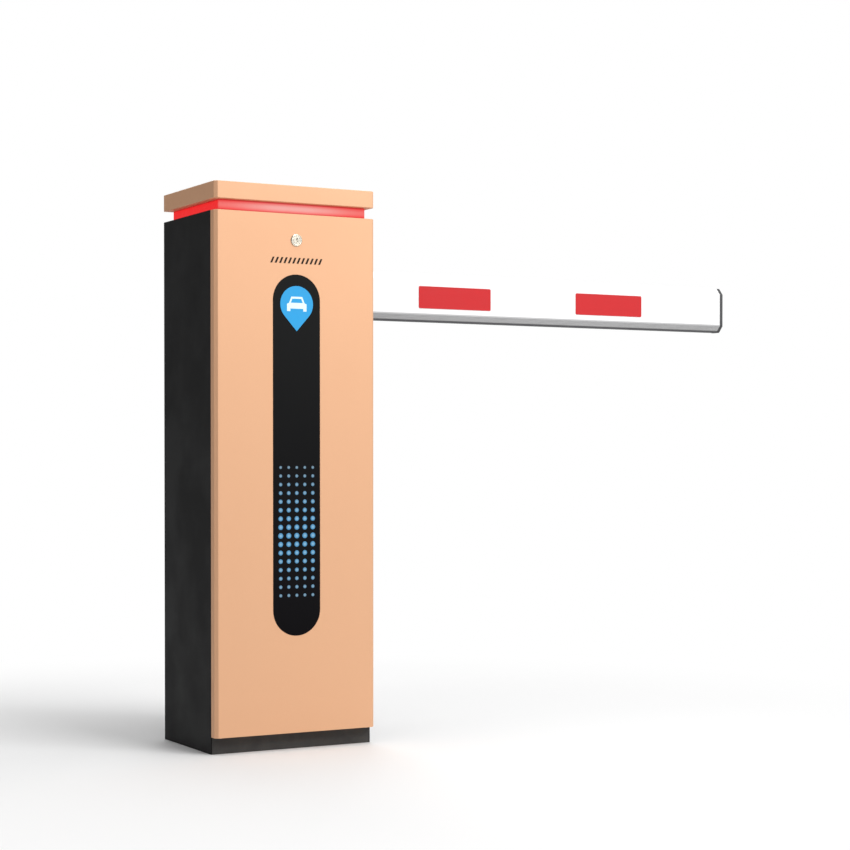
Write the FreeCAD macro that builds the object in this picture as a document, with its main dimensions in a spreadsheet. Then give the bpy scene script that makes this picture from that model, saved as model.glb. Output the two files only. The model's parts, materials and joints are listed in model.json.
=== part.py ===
"""Parking barrier gate: a slim steel cabinet that raises and lowers an octagonal boom.

Row frame: millimetres, +Z up, the door faces -Y and the boom reaches out along +X.
The origin is the centre of the four anchor holes, on the underside of the base plate.
At rest the door is shut and the boom lies level across the lane.
"""
import FreeCAD, Part
import Sketcher
import os
import re

from FreeCAD import Placement, Rotation, Vector

doc = FreeCAD.newDocument("parking_barrier_gate")
sheet = doc.addObject("Spreadsheet::Sheet", "sizes")

# ---------------------------------------------------------------- driving sizes
SIZES = {
    # cabinet
    "body_width": (328, "cabinet across the front"),
    "body_depth": (229, "cabinet body, front to back, without the door"),
    "body_height": (998, "cabinet body, floor to the top of its walls"),
    "skin": (2, "sheet steel of body, door and hood"),
    "base_thick": (8, "base plate"),
    "anchor_span_x": (260, "anchor holes, centre to centre across"),
    "anchor_span_y": (170, "anchor holes, centre to centre front to back"),
    "anchor_hole": (14, "anchor hole diameter"),
    "cable_entry": (80, "cable entry diameter"),
    "top_thick": (3, "top plate"),
    "jamb_width": (20, "strip of body front on each side of the door opening"),
    "plinth_high": (60, "plinth panel"),
    "head_high": (35, "head rail over the door opening"),
    "corner_bevel": (6, "folded bevel on the front corners of door and hood"),
    # light band and hood
    "band_high": (20.5, "red light band"),
    "band_inset": (14, "light band inside the hood's outline"),
    "band_wall": (4, "wall of the light band"),
    "channel_gap": (12, "light band to the channel behind it"),
    "channel_wall": (3, "wall of the channel"),
    "led_thick": (2, "LED strip"),
    "led_edge": (4, "LED strip inside the edges of the channel"),
    "led_end": (6, "LED strip short of the channel's corners"),
    "hood_high": (31.5, "hood"),
    "post_radius": (5, "hood post"),
    "post_span_x": (210, "hood posts, centre to centre across"),
    "post_span_y": (150, "hood posts, centre to centre front to back"),
    # door
    "door_depth": (20.5, "door pan, front to back"),
    "door_gap": (0.5, "door pan to body"),
    "door_bottom": (32, "underside of the door pan"),
    "door_top_gap": (0.5, "top of the door pan below the top of the body"),
    "door_pivot_up": (1.5, "hinge pin over the underside of the door"),
    "door_pivot_back": (10.5, "hinge pin behind the face of the door"),
    "door_pin": (1.5, "hinge pin radius"),
    "pin_reach": (3, "hinge pin beyond its bracket"),
    "corner_relief": (2, "bottom flange of the door cut back beyond its hinge pins"),
    "bracket_thick": (3, "hinge bracket"),
    "bracket_eye": (3.5, "hinge bracket eye radius"),
    "bracket_set_in": (13, "hinge bracket inside the body's side"),
    "gasket_thick": (3.5, "door gasket, front to back"),
    "gasket_width": (12, "door gasket, across"),
    "gasket_set_in": (2, "door gasket inside the side panels"),
    "gasket_low": (2, "door gasket above the plinth panel's edge"),
    "stiffener_x": (108, "door stiffener, centre from the middle"),
    "stiffener_wide": (16, "door stiffener, across"),
    "stiffener_deep": (12, "door stiffener, front to back"),
    "stiffener_up": (28, "door stiffener over the underside of the door"),
    "stiffener_down": (30, "door stiffener below the lock"),
    # inlay
    "inlay_wide": (96, "black inlay across"),
    "inlay_bottom": (213.5, "lower end of the inlay"),
    "inlay_top": (885, "upper end of the inlay"),
    "inlay_proud": (0.3, "face of the inlay in front of the door's face"),
    "inlay_flange": (8, "flange of the inlay behind the door skin"),
    "inlay_flange_thick": (2, "thickness of that flange"),
    "inlay_fit": (0.2, "gap between inlay and door skin"),
    "badge_radius": (33.5, "round part of the map pin"),
    "badge_centre": (830.5, "height of that round part's centre"),
    "badge_tip": (780, "height of the map pin's tip"),
    "badge_thick": (0.6, "thickness of the map pin"),
    "symbol_wide": (40, "car symbol across"),
    "symbol_high": (27, "car symbol, height"),
    "symbol_thick": (0.3, "thickness of the car symbol"),
    "dot_pitch_x": (16.5, "light dots, column to column"),
    "dot_pitch_z": (15.87, "light dots, row to row"),
    "dot_bottom": (288.8, "lowest row of light dots"),
    "dot_small": (2.8, "radius of the smallest dots"),
    "dot_large": (5.2, "radius of the largest dots"),
    "dot_thick": (0.4, "light dots, front to back"),
    "board_thick": (1.6, "display board"),
    "board_margin": (12, "display board beyond the outer dots"),
    "legend_wide": (107, "row of slanted marks under the lock"),
    "legend_high": (11, "height of those marks"),
    "legend_centre": (911, "height of their centre line"),
    "legend_thick": (0.2, "thickness of those marks"),
    # lock
    "lock_height": (949, "lock over the floor"),
    "lock_face": (11.5, "lock face radius"),
    "lock_barrel": (9.5, "lock barrel radius"),
    "lock_core": (6, "lock plug radius"),
    "lock_proud": (2.5, "lock face in front of the door"),
    "lock_long": (24, "lock barrel behind the face"),
    "lock_gap": (0.1, "radial gap round the lock barrel"),
    "key_slot_wide": (1.8, "key slot across"),
    "key_slot_high": (7.6, "key slot, height"),
    "key_slot_deep": (6.5, "key slot, depth"),
    "cam_gap": (2, "lock barrel to its cam"),
    "cam_reach": (28, "lock cam, axis to tip"),
    "cam_wide": (14, "lock cam, width"),
    "cam_thick": (3, "lock cam, thickness"),
    # shaft and boom
    "shaft_height": (878.5, "main shaft over the floor"),
    "shaft_radius": (17.5, "main shaft"),
    "shaft_hole_gap": (2.5, "radial gap round the main shaft in the rear panel"),
    "shaft_nose": (4, "main shaft in front of its lever"),
    "seal_wide": (9, "shaft seal beyond the shaft"),
    "seal_thick": (4, "shaft seal"),
    "boom_behind": (35, "boom behind the body"),
    "boom_deep": (45, "boom, front to back"),
    "boom_high": (99, "boom, height"),
    "boom_chamfer_y": (12, "boom corner bevel, front to back"),
    "boom_chamfer_z": (13.5, "boom corner bevel, height"),
    "boom_wall": (2.2, "wall of the boom tube"),
    "boom_reach": (1200.5, "end of the boom tube from the shaft"),
    "boom_tail": (110, "boom tube behind the shaft"),
    "strip_thick": (2.2, "bumper strip under the boom"),
    "strip_high": (16.5, "bumper strip up the boom's side"),
    "cap_thick": (8.5, "boom end cap"),
    "cap_lip": (0.8, "boom end cap beyond the tube"),
    "cap_plug": (20, "end cap's plug inside the tube"),
    "plug_gap": (0.2, "end cap's plug to the tube's wall"),
    "reflector_long": (175, "reflector, length"),
    "reflector_high": (46.5, "reflector, height"),
    "reflector_thick": (0.8, "reflector, thickness"),
    "reflector_first": (504, "first reflector's centre from the shaft"),
    "reflector_pitch": (391, "reflector to reflector"),
    "reflector_up": (0.7, "reflectors over the boom's centre line"),
    "flange_wide": (96, "boom flange, length"),
    "flange_high": (72, "boom flange, height"),
    "flange_thick": (10, "boom flange, thickness"),
    "flange_hub": (30, "boom flange hub radius"),
    "hub_gap": (6.5, "boom flange hub to rear panel"),
    "boom_bolt": (5, "boom bolt radius"),
    "boom_bolt_head": (8.5, "boom bolt head and nut radius"),
    "boom_bolt_x": (66, "boom bolts, centre to centre along the boom"),
    "boom_bolt_z": (50, "boom bolts, centre to centre over the height"),
    "bolt_gap": (0.3, "hole radius over bolt radius"),
    "bolt_head_thick": (6, "boom bolt head and nut"),
    "clamp_thick": (6, "clamp plate behind the boom"),
    # machine plate and bearings
    "plate_front": (70, "front face of the machine plate"),
    "plate_thick": (8, "machine plate"),
    "plate_wide": (280, "machine plate across"),
    "plate_top": (960, "top of the machine plate"),
    "spacer_radius": (7, "spacer between machine plate and rear panel"),
    "spacer_edge": (20, "spacers from the sides of the machine plate"),
    "housing_hole_gap": (0.3, "radial gap round the bearing housing in the plate"),
    "housing_flange": (55, "bearing housing flange radius"),
    "housing_flange_thick": (10, "bearing housing flange"),
    "housing_barrel": (37, "bearing housing barrel radius"),
    "housing_end_gap": (4.5, "bearing housing to rear panel"),
    "bearing_outer": (31, "ball bearing outer radius"),
    "bearing_wide": (14, "ball bearing width"),
    "running_gap": (0.05, "radial gap of a running fit"),
    "press_gap": (0.02, "radial gap of a pressed fit"),
    "bearing_end": (2, "ball bearings inside the ends of their housing"),
    "bolt_radius": (4, "machine bolt"),
    "bolt_head": (6.5, "machine bolt head radius"),
    "bolt_head_high": (5, "machine bolt head"),
    "bolt_end": (4, "machine bolts behind the machine plate"),
    "housing_bolt_span": (65, "bearing housing bolts, centre to centre"),
    # linkage
    "arm_radius": (60, "shaft lever and crank, axis to pin"),
    "arm_front": (-10, "front face of both arms"),
    "arm_thick": (16, "thickness of both arms"),
    "arm_hub": (27, "hub radius of both arms"),
    "lever_hub_back": (14, "hub of the shaft lever behind the lever"),
    "arm_eye": (14, "pin end radius of both arms"),
    "link_pin": (8, "link pin radius"),
    "pin_nose": (2, "link pins in front of the connecting rod"),
    "link_gap": (2, "arm to connecting rod"),
    "link_thick": (14, "connecting rod, thickness"),
    "link_eye": (16, "connecting rod eye radius"),
    "link_wide": (14, "connecting rod, width"),
    "open_pivot_gap": (0.5, "radial gap at the rod's upper eye"),
    # gearbox and motor
    "drive_height": (560, "gearbox output shaft over the floor"),
    "output_radius": (12.5, "output shaft"),
    "output_nose": (2, "output shaft in front of its crank"),
    "output_end": (2, "output shaft short of the machine plate"),
    "gearbox_left": (48, "gearbox housing left of the output shaft"),
    "gearbox_right": (76, "gearbox housing right of the output shaft"),
    "gearbox_up": (56, "gearbox housing above and below the output shaft"),
    "gearbox_wall": (6, "gearbox wall"),
    "gearbox_cover": (6, "gearbox cover"),
    "gearbox_front": (10, "front face of the gearbox cover"),
    "wheel_radius": (40, "worm wheel"),
    "wheel_wide": (14, "worm wheel width"),
    "wheel_tooth": (2.5, "worm wheel tooth depth"),
    "tooth_gap_root": (1.8, "gap between worm wheel teeth at their roots"),
    "tooth_gap_tip": (3.8, "gap between worm wheel teeth just beyond their tips"),
    "worm_radius": (11, "worm"),
    "worm_long": (50, "worm"),
    "mesh_gap": (0.3, "worm to worm wheel"),
    "worm_shaft": (7, "worm shaft radius"),
    "worm_seat": (2, "bore for the worm shaft short of the gearbox's top"),
    "worm_end_gap": (1, "worm shaft short of the end of its bore"),
    "motor_radius": (30, "motor over its fins"),
    "motor_fin": (4, "motor fin depth"),
    "motor_fin_gap": (4, "gap between motor fins"),
    "motor_long": (112, "motor"),
    "motor_wall": (3, "motor wall"),
    "motor_end": (8, "end shields of the motor, above and below its fins"),
    "rotor_radius": (18, "rotor"),
    "rotor_up": (20, "rotor over the underside of the motor"),
    "rotor_long": (70, "rotor"),
    "handwheel_radius": (28, "handwheel"),
    "handwheel_thick": (12, "handwheel"),
    "handwheel_gap": (6, "handwheel to motor"),
    "finger_hole": (5.5, "finger holes in the handwheel, radius"),
    "finger_ring": (17, "finger holes from the handwheel's centre"),
    "stop_radius": (9, "rubber stop"),
    "stop_long": (18, "rubber stop"),
    "stop_reach": (45, "rubber stops from the output shaft"),
    "stop_gap": (0.4, "rubber stop to crank at its limits"),
    # balance spring
    "quadrant_radius": (95, "spring rope from the main shaft"),
    "quadrant_rim": (4, "quadrant rim beyond the rope"),
    "quadrant_back": (46, "rear face of the quadrant"),
    "quadrant_thick": (12, "quadrant"),
    "quadrant_hub_gap": (8, "hub beyond the quadrant on both sides"),
    "rope_radius": (2.5, "spring rope"),
    "rope_groove": (6, "rope groove, width"),
    "rope_seat": (0.3, "rope to groove floor"),
    "hook_top": (700, "top of the spring hook"),
    "hook_high": (60, "spring hook"),
    "hook_wide": (24, "spring hook across"),
    "hook_deep": (16, "spring hook, front to back"),
    "hook_eye": (5, "eye in the spring hook, radius"),
    "hook_eye_up": (20, "eye over the underside of the spring hook"),
    "spring_radius": (18, "balance spring over its coils"),
    "spring_wire": (5, "balance spring wire"),
    "spring_bottom": (80, "lower end of the balance spring"),
    "anchor_foot": (40, "spring anchor foot, side"),
    "anchor_foot_thick": (6, "spring anchor foot"),
    "anchor_foot_back": (8, "spring anchor foot behind the rope's line"),
    "saucer_thick": (6, "saucer under the balance spring"),
    "anchor_rod": (7, "spring anchor rod radius"),
    # electrical gear
    "rail_height": (305, "DIN rail over the floor"),
    "rail_high": (35, "DIN rail"),
    "rail_deep": (7.5, "DIN rail"),
    "rail_left": (-65, "left end of the DIN rail"),
    "rail_right": (125, "right end of the DIN rail"),
    "terminal_wide": (6, "one terminal block"),
    "terminal_first": (8, "first terminal block from the end of its rail"),
    "terminal_gap": (0.2, "terminal block to terminal block"),
    "terminal_high": (60, "terminal block, height"),
    "terminal_deep": (32, "terminal block, depth"),
    "breaker_left": (20, "left side of the breaker"),
    "breaker_wide": (36, "breaker across"),
    "breaker_high": (82, "breaker, height"),
    "breaker_deep": (54, "breaker, depth"),
    "toggle_radius": (7, "breaker lever's drum"),
    "toggle_wide": (14, "breaker lever across"),
    "toggle_long": (20, "breaker lever, axis to tip"),
    "toggle_thick": (5, "breaker lever, thickness"),
    "toggle_gap": (0.5, "breaker lever to its slot"),
    "toggle_proud": (1, "breaker lever's drum in front of the breaker"),
    "toggle_lift": (1.5, "breaker lever over its axis"),
    "axle_radius": (2, "breaker lever's axle"),
    "axle_long": (22.4, "breaker lever's axle"),
    "control_left": (-60, "left side of the controller box"),
    "control_wide": (170, "controller box across"),
    "control_bottom": (90, "underside of the controller box"),
    "control_high": (160, "controller box, height"),
    "control_deep": (40, "controller box, depth"),
}
TERMINALS = 10
DOT_COLUMNS = 5
DOT_ROWS = 16
LARGEST_DOT_ROW = 7
WHEEL_TEETH = 40
MOTOR_FINS = 18
LEGEND_MARKS = 12
MARK_SHARE = 0.45
BEVEL_EASE = 0.4
SPACER_LEVELS = (0.1, 0.5, 0.95)
SECTOR_START = 75
SECTOR_SWEEP = 120

# ------------------------------------------------- planes worked out from the sizes
PLANES = {
    "side": "body_width / 2",
    "side_in": "side - skin",
    "front": "-body_depth / 2",
    "back": "body_depth / 2",
    "front_in": "front + skin",
    "back_in": "back - skin",
    "roof_bottom": "body_height - top_thick",
    "head_bottom": "roof_bottom - head_high",
    "door_back": "front - door_gap",
    "door_face": "door_back - door_depth",
    "door_inside": "door_face + skin",
    "door_top": "body_height - door_top_gap",
    "pivot_y": "door_face + door_pivot_back",
    "pivot_z": "door_bottom + door_pivot_up",
    "bracket_out": "side - bracket_set_in",
    "bracket_in": "bracket_out - bracket_thick",
    "inlay_face": "door_face - inlay_proud",
    "inlay_back": "door_inside + inlay_flange_thick",
    "badge_face": "inlay_face - badge_thick",
    "dot_top": f"dot_bottom + {DOT_ROWS - 1} * dot_pitch_z",
    "plate_back": "plate_front + plate_thick",
    "band_top": "body_height + band_high",
    "band_side": "side - band_inset",
    "band_front": "door_face + band_inset",
    "band_back": "back - band_inset",
    "channel_side": "band_side - channel_gap",
    "channel_front": "band_front + channel_gap",
    "channel_back": "band_back - channel_gap",
    "band_middle": "(band_front + band_back) / 2",
    "hood_top": "band_top + hood_high",
    "boom_face": "back + boom_behind",
    "boom_rear": "boom_face + boom_deep",
    "boom_top": "shaft_height + boom_high / 2",
    "boom_under": "shaft_height - boom_high / 2",
    "boom_end": "boom_reach",
    "flange_face": "boom_face - flange_thick",
    "arm_back": "arm_front + arm_thick",
    "link_back": "arm_front - link_gap",
    "link_front": "link_back - link_thick",
    "pin_front": "link_front - pin_nose",
    "arm_offset": "arm_radius * sqrt(0.5)",
    "gearbox_inside": "gearbox_front + gearbox_cover",
    "gearbox_top": "drive_height + gearbox_up",
    "gearbox_bottom": "drive_height - gearbox_up",
    "worm_x": "wheel_radius + worm_radius + mesh_gap",
    "worm_y": "(gearbox_inside + plate_front - gearbox_wall) / 2",
    "motor_bottom": "gearbox_bottom - motor_long",
    "handwheel_top": "motor_bottom - handwheel_gap",
    "handwheel_bottom": "handwheel_top - handwheel_thick",
    "quadrant_front": "quadrant_back - quadrant_thick",
    "rope_y": "quadrant_back - quadrant_thick / 2",
    "hook_bottom": "hook_top - hook_high",
    "housing_front": "plate_front - housing_flange_thick",
    "housing_back": "back_in - housing_end_gap",
    "rail_face": "plate_front - rail_deep",
    "breaker_face": "rail_face - breaker_deep",
    "toggle_x": "breaker_left + breaker_wide / 2",
    "toggle_y": "breaker_face + toggle_radius - toggle_proud",
    "lock_back": "door_face + lock_long",
    "cam_back": "lock_back + cam_gap + cam_thick",
}

for row, (alias, (value, meaning)) in enumerate(SIZES.items(), start=1):
    sheet.set(f"A{row}", meaning)
    sheet.set(f"B{row}", str(value))
    sheet.setAlias(f"B{row}", alias)
doc.recompute()

WORD = re.compile(r"[a-z_]+")


def formula(text):
    """Write a plain formula, such as 'side - skin', as an expression on the sheet's cells."""
    def cell(match):
        word = match.group(0)
        if word in PLANES:
            return f"({formula(PLANES[word])})"
        return f"sizes.{word}" if word in SIZES else word
    return WORD.sub(cell, str(text))


# ---------------------------------------------------------------- building blocks
TURNS = {
    "x": Rotation(Vector(0, 1, 0), 90),
    "y": Rotation(Vector(1, 0, 0), -90),
    "z": Rotation(),
}
sub_parts = []


def sub_part(obj, label):
    """Give a finished object the name of its piece."""
    obj.Label = label
    sub_parts.append(obj)
    return obj


def move_to(obj, x, y, z):
    for axis, text in zip("xyz", (x, y, z)):
        obj.setExpression(f"Placement.Base.{axis}", formula(text))


def block(x, y, z):
    """Box between a low and a high formula on each axis."""
    box = doc.addObject("Part::Box", "block")
    for side, (low, high) in zip(("Length", "Width", "Height"), (x, y, z)):
        box.setExpression(side, formula(f"({high}) - ({low})"))
    move_to(box, x[0], y[0], z[0])
    return box


def round_bar(axis, centre, span, radius):
    """Cylinder along x, y or z; centre gives the two other coordinates in x, y, z order."""
    bar = doc.addObject("Part::Cylinder", "round_bar")
    bar.Placement = Placement(Vector(), TURNS[axis])
    bar.setExpression("Radius", formula(radius))
    bar.setExpression("Height", formula(f"({span[1]}) - ({span[0]})"))
    first, second = centre
    base = {"x": (span[0], first, second), "y": (first, span[0], second),
            "z": (first, second, span[0])}[axis]
    move_to(bar, *base)
    return bar


def joined(*shapes):
    if len(shapes) == 1:
        return shapes[0]
    fuse = doc.addObject("Part::MultiFuse", "joined")
    fuse.Shapes = list(shapes)
    return fuse


def group(*shapes):
    """Separate solids kept side by side in one piece, such as a set of screws."""
    compound = doc.addObject("Part::Compound", "group")
    compound.Links = list(shapes)
    return compound


def cut(base, *tools):
    """Take tools away from base; tools run 1 mm past the faces they open."""
    result = doc.addObject("Part::Cut", "cut")
    result.Base = base
    result.Tool = joined(*tools)
    return result


def ring(axis, centre, span, outer, inner):
    hole = round_bar(axis, centre, (f"({span[0]}) - 1", f"({span[1]}) + 1"), inner)
    return cut(round_bar(axis, centre, span, outer), hole)


def frame_ring(x, y, z, wall):
    """Upright rectangular ring with walls of one thickness, open above and below."""
    hollow = block((f"({x[0]}) + {wall}", f"({x[1]}) - {wall}"),
                   (f"({y[0]}) + {wall}", f"({y[1]}) - {wall}"),
                   (f"({z[0]}) - 1", f"({z[1]}) + 1"))
    return cut(block(x, y, z), hollow)


def pill(wide, bottom, top, y):
    """Upright plate with half-round ends, centred across the door."""
    low = f"{bottom} + ({wide}) / 2"
    high = f"{top} - ({wide}) / 2"
    return joined(block((f"-({wide}) / 2", f"({wide}) / 2"), y, (low, high)),
                  round_bar("y", ("0", low), y, f"({wide}) / 2"),
                  round_bar("y", ("0", high), y, f"({wide}) / 2"))


def corners(span_x, span_z, middle_z="0"):
    """Four places around a middle, as (x, z) formulas."""
    return [(f"{side} * {span_x} / 2", f"{middle_z} + {level} * {span_z} / 2")
            for side in (-1, 1) for level in (-1, 1)]


# ---- PartDesign: bodies drawn as closed outlines on their own origin planes
def new_body(label):
    body = doc.addObject("PartDesign::Body", label)
    return sub_part(body, label)


def sketch_on(body, plane, offset="0"):
    """Sketch on the body's XY, XZ or YZ plane, moved along that plane's normal."""
    sketch = body.newObject("Sketcher::SketchObject", "outline")
    support = [item for item in body.Origin.OriginFeatures if item.Role == f"{plane}_Plane"]
    sketch.AttachmentSupport = (support[0], [""])
    sketch.MapMode = "FlatFace"
    sketch.setExpression("AttachmentOffset.Base.z", formula(offset))
    return sketch


def pin_point(sketch, edge, end, at, start_value):
    """Hold one point of a sketch at two formulas from the origin."""
    for kind, text, value in zip(("DistanceX", "DistanceY"), at, start_value):
        number = sketch.addConstraint(Sketcher.Constraint(kind, -1, 1, edge, end, value))
        sketch.setExpression(f"Constraints[{number}]", formula(text))


def draw_polygon(sketch, points):
    """Closed outline through points given as pairs of formulas."""
    count = len(points)
    first_edge = sketch.GeometryCount
    turn = [Rotation(Vector(0, 0, 1), 360 * number / count) for number in range(count)]
    start = [step.multVec(Vector(50, 0, 0)) for step in turn]
    for number in range(count):
        sketch.addGeometry(Part.LineSegment(start[number], start[(number + 1) % count]))
    for number in range(count):
        edge = first_edge + number
        following = first_edge + (number + 1) % count
        sketch.addConstraint(Sketcher.Constraint("Coincident", edge, 2, following, 1))
    for number, at in enumerate(points):
        pin_point(sketch, first_edge + number, 1, at, (start[number].x, start[number].y))


def draw_circle(sketch, centre, radius):
    edge = sketch.addGeometry(Part.Circle(Vector(20, 30, 0), Vector(0, 0, 1), 5))
    pin_point(sketch, edge, 3, centre, (20, 30))
    number = sketch.addConstraint(Sketcher.Constraint("Radius", edge, 5))
    sketch.setExpression(f"Constraints[{number}]", formula(radius))


def rectangle(x, y):
    return [(x[0], y[0]), (x[1], y[0]), (x[1], y[1]), (x[0], y[1])]


def pad(body, sketch, length, reverse=False):
    feature = body.newObject("PartDesign::Pad", "pad")
    feature.Profile = sketch
    feature.setExpression("Length", formula(length))
    feature.Reversed = reverse
    body.Tip = feature
    return feature


def pocket(body, sketch, length, reverse=False):
    feature = body.newObject("PartDesign::Pocket", "pocket")
    feature.Profile = sketch
    feature.setExpression("Length", formula(length))
    feature.Reversed = reverse
    body.Tip = feature
    return feature


def around(body, feature, axis, count):
    """Repeat a feature round one of the body's own axes."""
    pattern = body.newObject("PartDesign::PolarPattern", "pattern")
    pattern.Originals = [feature]
    line = [item for item in body.Origin.OriginFeatures if item.Role == f"{axis}_Axis"]
    pattern.Axis = (line[0], [""])
    pattern.Angle = 360
    pattern.Occurrences = count
    body.Tip = pattern
    return pattern


# ---------------------------------------------------------------- cabinet
def base_plate():
    """Steel plate bolted to the ground, with four anchor holes and the cable entry."""
    body = new_body("base_plate")
    plate = sketch_on(body, "XY")
    draw_polygon(plate, rectangle(("-side_in", "side_in"), ("front_in", "back_in")))
    pad(body, plate, "base_thick")
    holes = sketch_on(body, "XY")
    for x, y in corners("anchor_span_x", "anchor_span_y"):
        draw_circle(holes, (x, y), "anchor_hole / 2")
    draw_circle(holes, ("0", "0"), "cable_entry / 2")
    pocket(body, holes, "base_thick", reverse=True)


def cabinet_walls():
    walls_z = ("0", "body_height")
    sub_part(block(("-side", "-side_in"), ("front", "back"), walls_z), "left_side_panel")
    sub_part(block(("side_in", "side"), ("front", "back"), walls_z), "right_side_panel")
    shaft_hole = round_bar("y", ("0", "shaft_height"), ("back_in - 1", "back + 1"),
                           "shaft_radius + shaft_hole_gap")
    rear = block(("-side_in", "side_in"), ("back_in", "back"), walls_z)
    sub_part(cut(rear, shaft_hole), "rear_panel")
    sheet_y = ("front", "front_in")
    sub_part(block(("-side_in", "side_in"), sheet_y, ("0", "plinth_high")), "plinth_panel")
    jamb_z = ("plinth_high", "head_bottom")
    sub_part(group(block(("-side_in", "side_in"), sheet_y, ("head_bottom", "roof_bottom")),
                   block(("-side_in", "-side_in + jamb_width"), sheet_y, jamb_z),
                   block(("side_in - jamb_width", "side_in"), sheet_y, jamb_z)),
             "door_surround")
    roof = block(("-side_in", "side_in"), ("front", "back_in"), ("roof_bottom", "body_height"))
    sub_part(roof, "top_plate")


def light_band():
    """Red diffuser ring with its aluminium channel and LED strips."""
    band_z = ("body_height", "band_top")
    sub_part(frame_ring(("-band_side", "band_side"), ("band_front", "band_back"), band_z,
                        "band_wall"), "light_band")
    sub_part(frame_ring(("-channel_side", "channel_side"), ("channel_front", "channel_back"),
                        band_z, "channel_wall"), "led_channel")
    strip_z = ("body_height + led_edge", "band_top - led_edge")
    across = ("-channel_side + led_end", "channel_side - led_end")
    along = ("channel_front + led_end", "channel_back - led_end")
    sub_part(group(
        block(across, ("channel_front - led_thick", "channel_front"), strip_z),
        block(across, ("channel_back", "channel_back + led_thick"), strip_z),
        block(("-channel_side - led_thick", "-channel_side"), along, strip_z),
        block(("channel_side", "channel_side + led_thick"), along, strip_z)), "led_strips")


def bevelled_outline(inset):
    """Plan of door and hood: a rectangle with its two front corners bevelled."""
    side = f"side - ({inset})"
    front = f"door_face + ({inset})"
    back = f"back - ({inset})"
    bevel = "corner_bevel"
    return [(f"-({side})", back), (f"-({side})", f"{front} + {bevel}"),
            (f"-({side}) + {bevel}", front), (f"{side} - {bevel}", front),
            (side, f"{front} + {bevel}"), (side, back)]


def hood():
    """Folded lid over the light band, with a lip turned in underneath."""
    body = new_body("hood")
    outer = sketch_on(body, "XY", "band_top")
    draw_polygon(outer, bevelled_outline("0"))
    pad(body, outer, "hood_high")
    hollow = sketch_on(body, "XY", "band_top + skin")
    draw_polygon(hollow, bevelled_outline("skin"))
    pocket(body, hollow, "hood_high - 2 * skin", reverse=True)
    mouth = sketch_on(body, "XY", "band_top")
    draw_polygon(mouth, bevelled_outline("band_inset + 2 * band_wall"))
    pocket(body, mouth, "skin", reverse=True)


def hood_posts():
    posts = [round_bar("z", (x, f"band_middle + {y}"), ("body_height", "hood_top - skin"),
                       "post_radius") for x, y in corners("post_span_x", "post_span_y")]
    sub_part(group(*posts), "hood_posts")


# ---------------------------------------------------------------- door
def door_pan():
    """Folded front panel: bevelled corners, side, top and bottom flanges, three openings."""
    body = new_body("door_pan")
    outer = sketch_on(body, "XY", "door_bottom")
    plan = bevelled_outline("0")
    plan[0] = (plan[0][0], "door_back")
    plan[-1] = (plan[-1][0], "door_back")
    draw_polygon(outer, plan)
    pad(body, outer, "door_top - door_bottom")
    hollow = sketch_on(body, "XY", "door_bottom + skin")
    plan = bevelled_outline("skin")
    plan[0] = (plan[0][0], "door_back + 1")
    plan[-1] = (plan[-1][0], "door_back + 1")
    draw_polygon(hollow, plan)
    pocket(body, hollow, "door_top - door_bottom - 2 * skin", reverse=True)
    relief = sketch_on(body, "XY", "door_bottom")
    inner = "bracket_in - pin_reach - corner_relief"
    relief_y = ("pivot_y - bracket_eye - 1", "door_back + 1")
    for x in (("-side_in", f"-({inner})"), (inner, "side_in")):
        draw_polygon(relief, rectangle(x, relief_y))
    pocket(body, relief, "skin", reverse=True)
    openings = joined(
        pill("inlay_wide + 2 * inlay_fit", "inlay_bottom - inlay_fit", "inlay_top + inlay_fit",
             ("door_face - 1", "door_inside + 1")),
        round_bar("y", ("0", "lock_height"), ("door_face - 1", "door_inside + 1"),
                  "lock_barrel + lock_gap"))
    sub_parts.remove(body)
    body.Label = "door_blank"
    sub_part(cut(body, openings), "door_pan")


def door_fittings():
    """Hinge pins welded in the door, their brackets on the body, stiffeners and gasket."""
    left = (("-bracket_out", "-bracket_in"), ("-side_in", "pin_reach - bracket_in"))
    right = (("bracket_in", "bracket_out"), ("bracket_in - pin_reach", "side_in"))
    pivot = ("pivot_y", "pivot_z")
    pins = []
    brackets = []
    for bracket_x, pin_x in (left, right):
        pins.append(round_bar("x", pivot, pin_x, "door_pin"))
        ear = joined(round_bar("x", pivot, bracket_x, "bracket_eye"),
                     block(bracket_x, ("pivot_y", "front"), ("pivot_z", "pivot_z + bracket_eye")))
        hole = round_bar("x", pivot, (f"{bracket_x[0]} - 1", f"{bracket_x[1]} + 1"),
                         "door_pin + running_gap")
        brackets.append(cut(ear, hole))
    sub_part(group(*pins), "hinge_pins")
    sub_part(group(*brackets), "hinge_brackets")
    half = "stiffener_wide / 2"
    rails = []
    for side in (-1, 1):
        x = (f"{side} * stiffener_x - {half}", f"{side} * stiffener_x + {half}")
        shell = block(x, ("door_inside", "door_inside + stiffener_deep"),
                      ("door_bottom + stiffener_up", "lock_height - stiffener_down"))
        hollow = block((f"{x[0]} + skin", f"{x[1]} - skin"),
                       ("door_inside - 1", "door_inside + stiffener_deep - skin"),
                       ("door_bottom + stiffener_up - 1", "lock_height - stiffener_down + 1"))
        rails.append(cut(shell, hollow))
    sub_part(group(*rails), "door_stiffeners")
    low = "plinth_high - gasket_width + gasket_low"
    high = "head_bottom + gasket_width"
    y = ("front - gasket_thick", "front")
    outer = "side_in - gasket_set_in"
    inner = "side_in - gasket_set_in - gasket_width"
    sub_part(group(block((f"-({outer})", f"-({inner})"), y, (low, high)),
                   block((inner, outer), y, (low, high)),
                   block((f"-({inner})", inner), y, (low, f"{low} + gasket_width")),
                   block((f"-({inner})", inner), y, (f"{high} - gasket_width", high))),
             "door_gasket")


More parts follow.
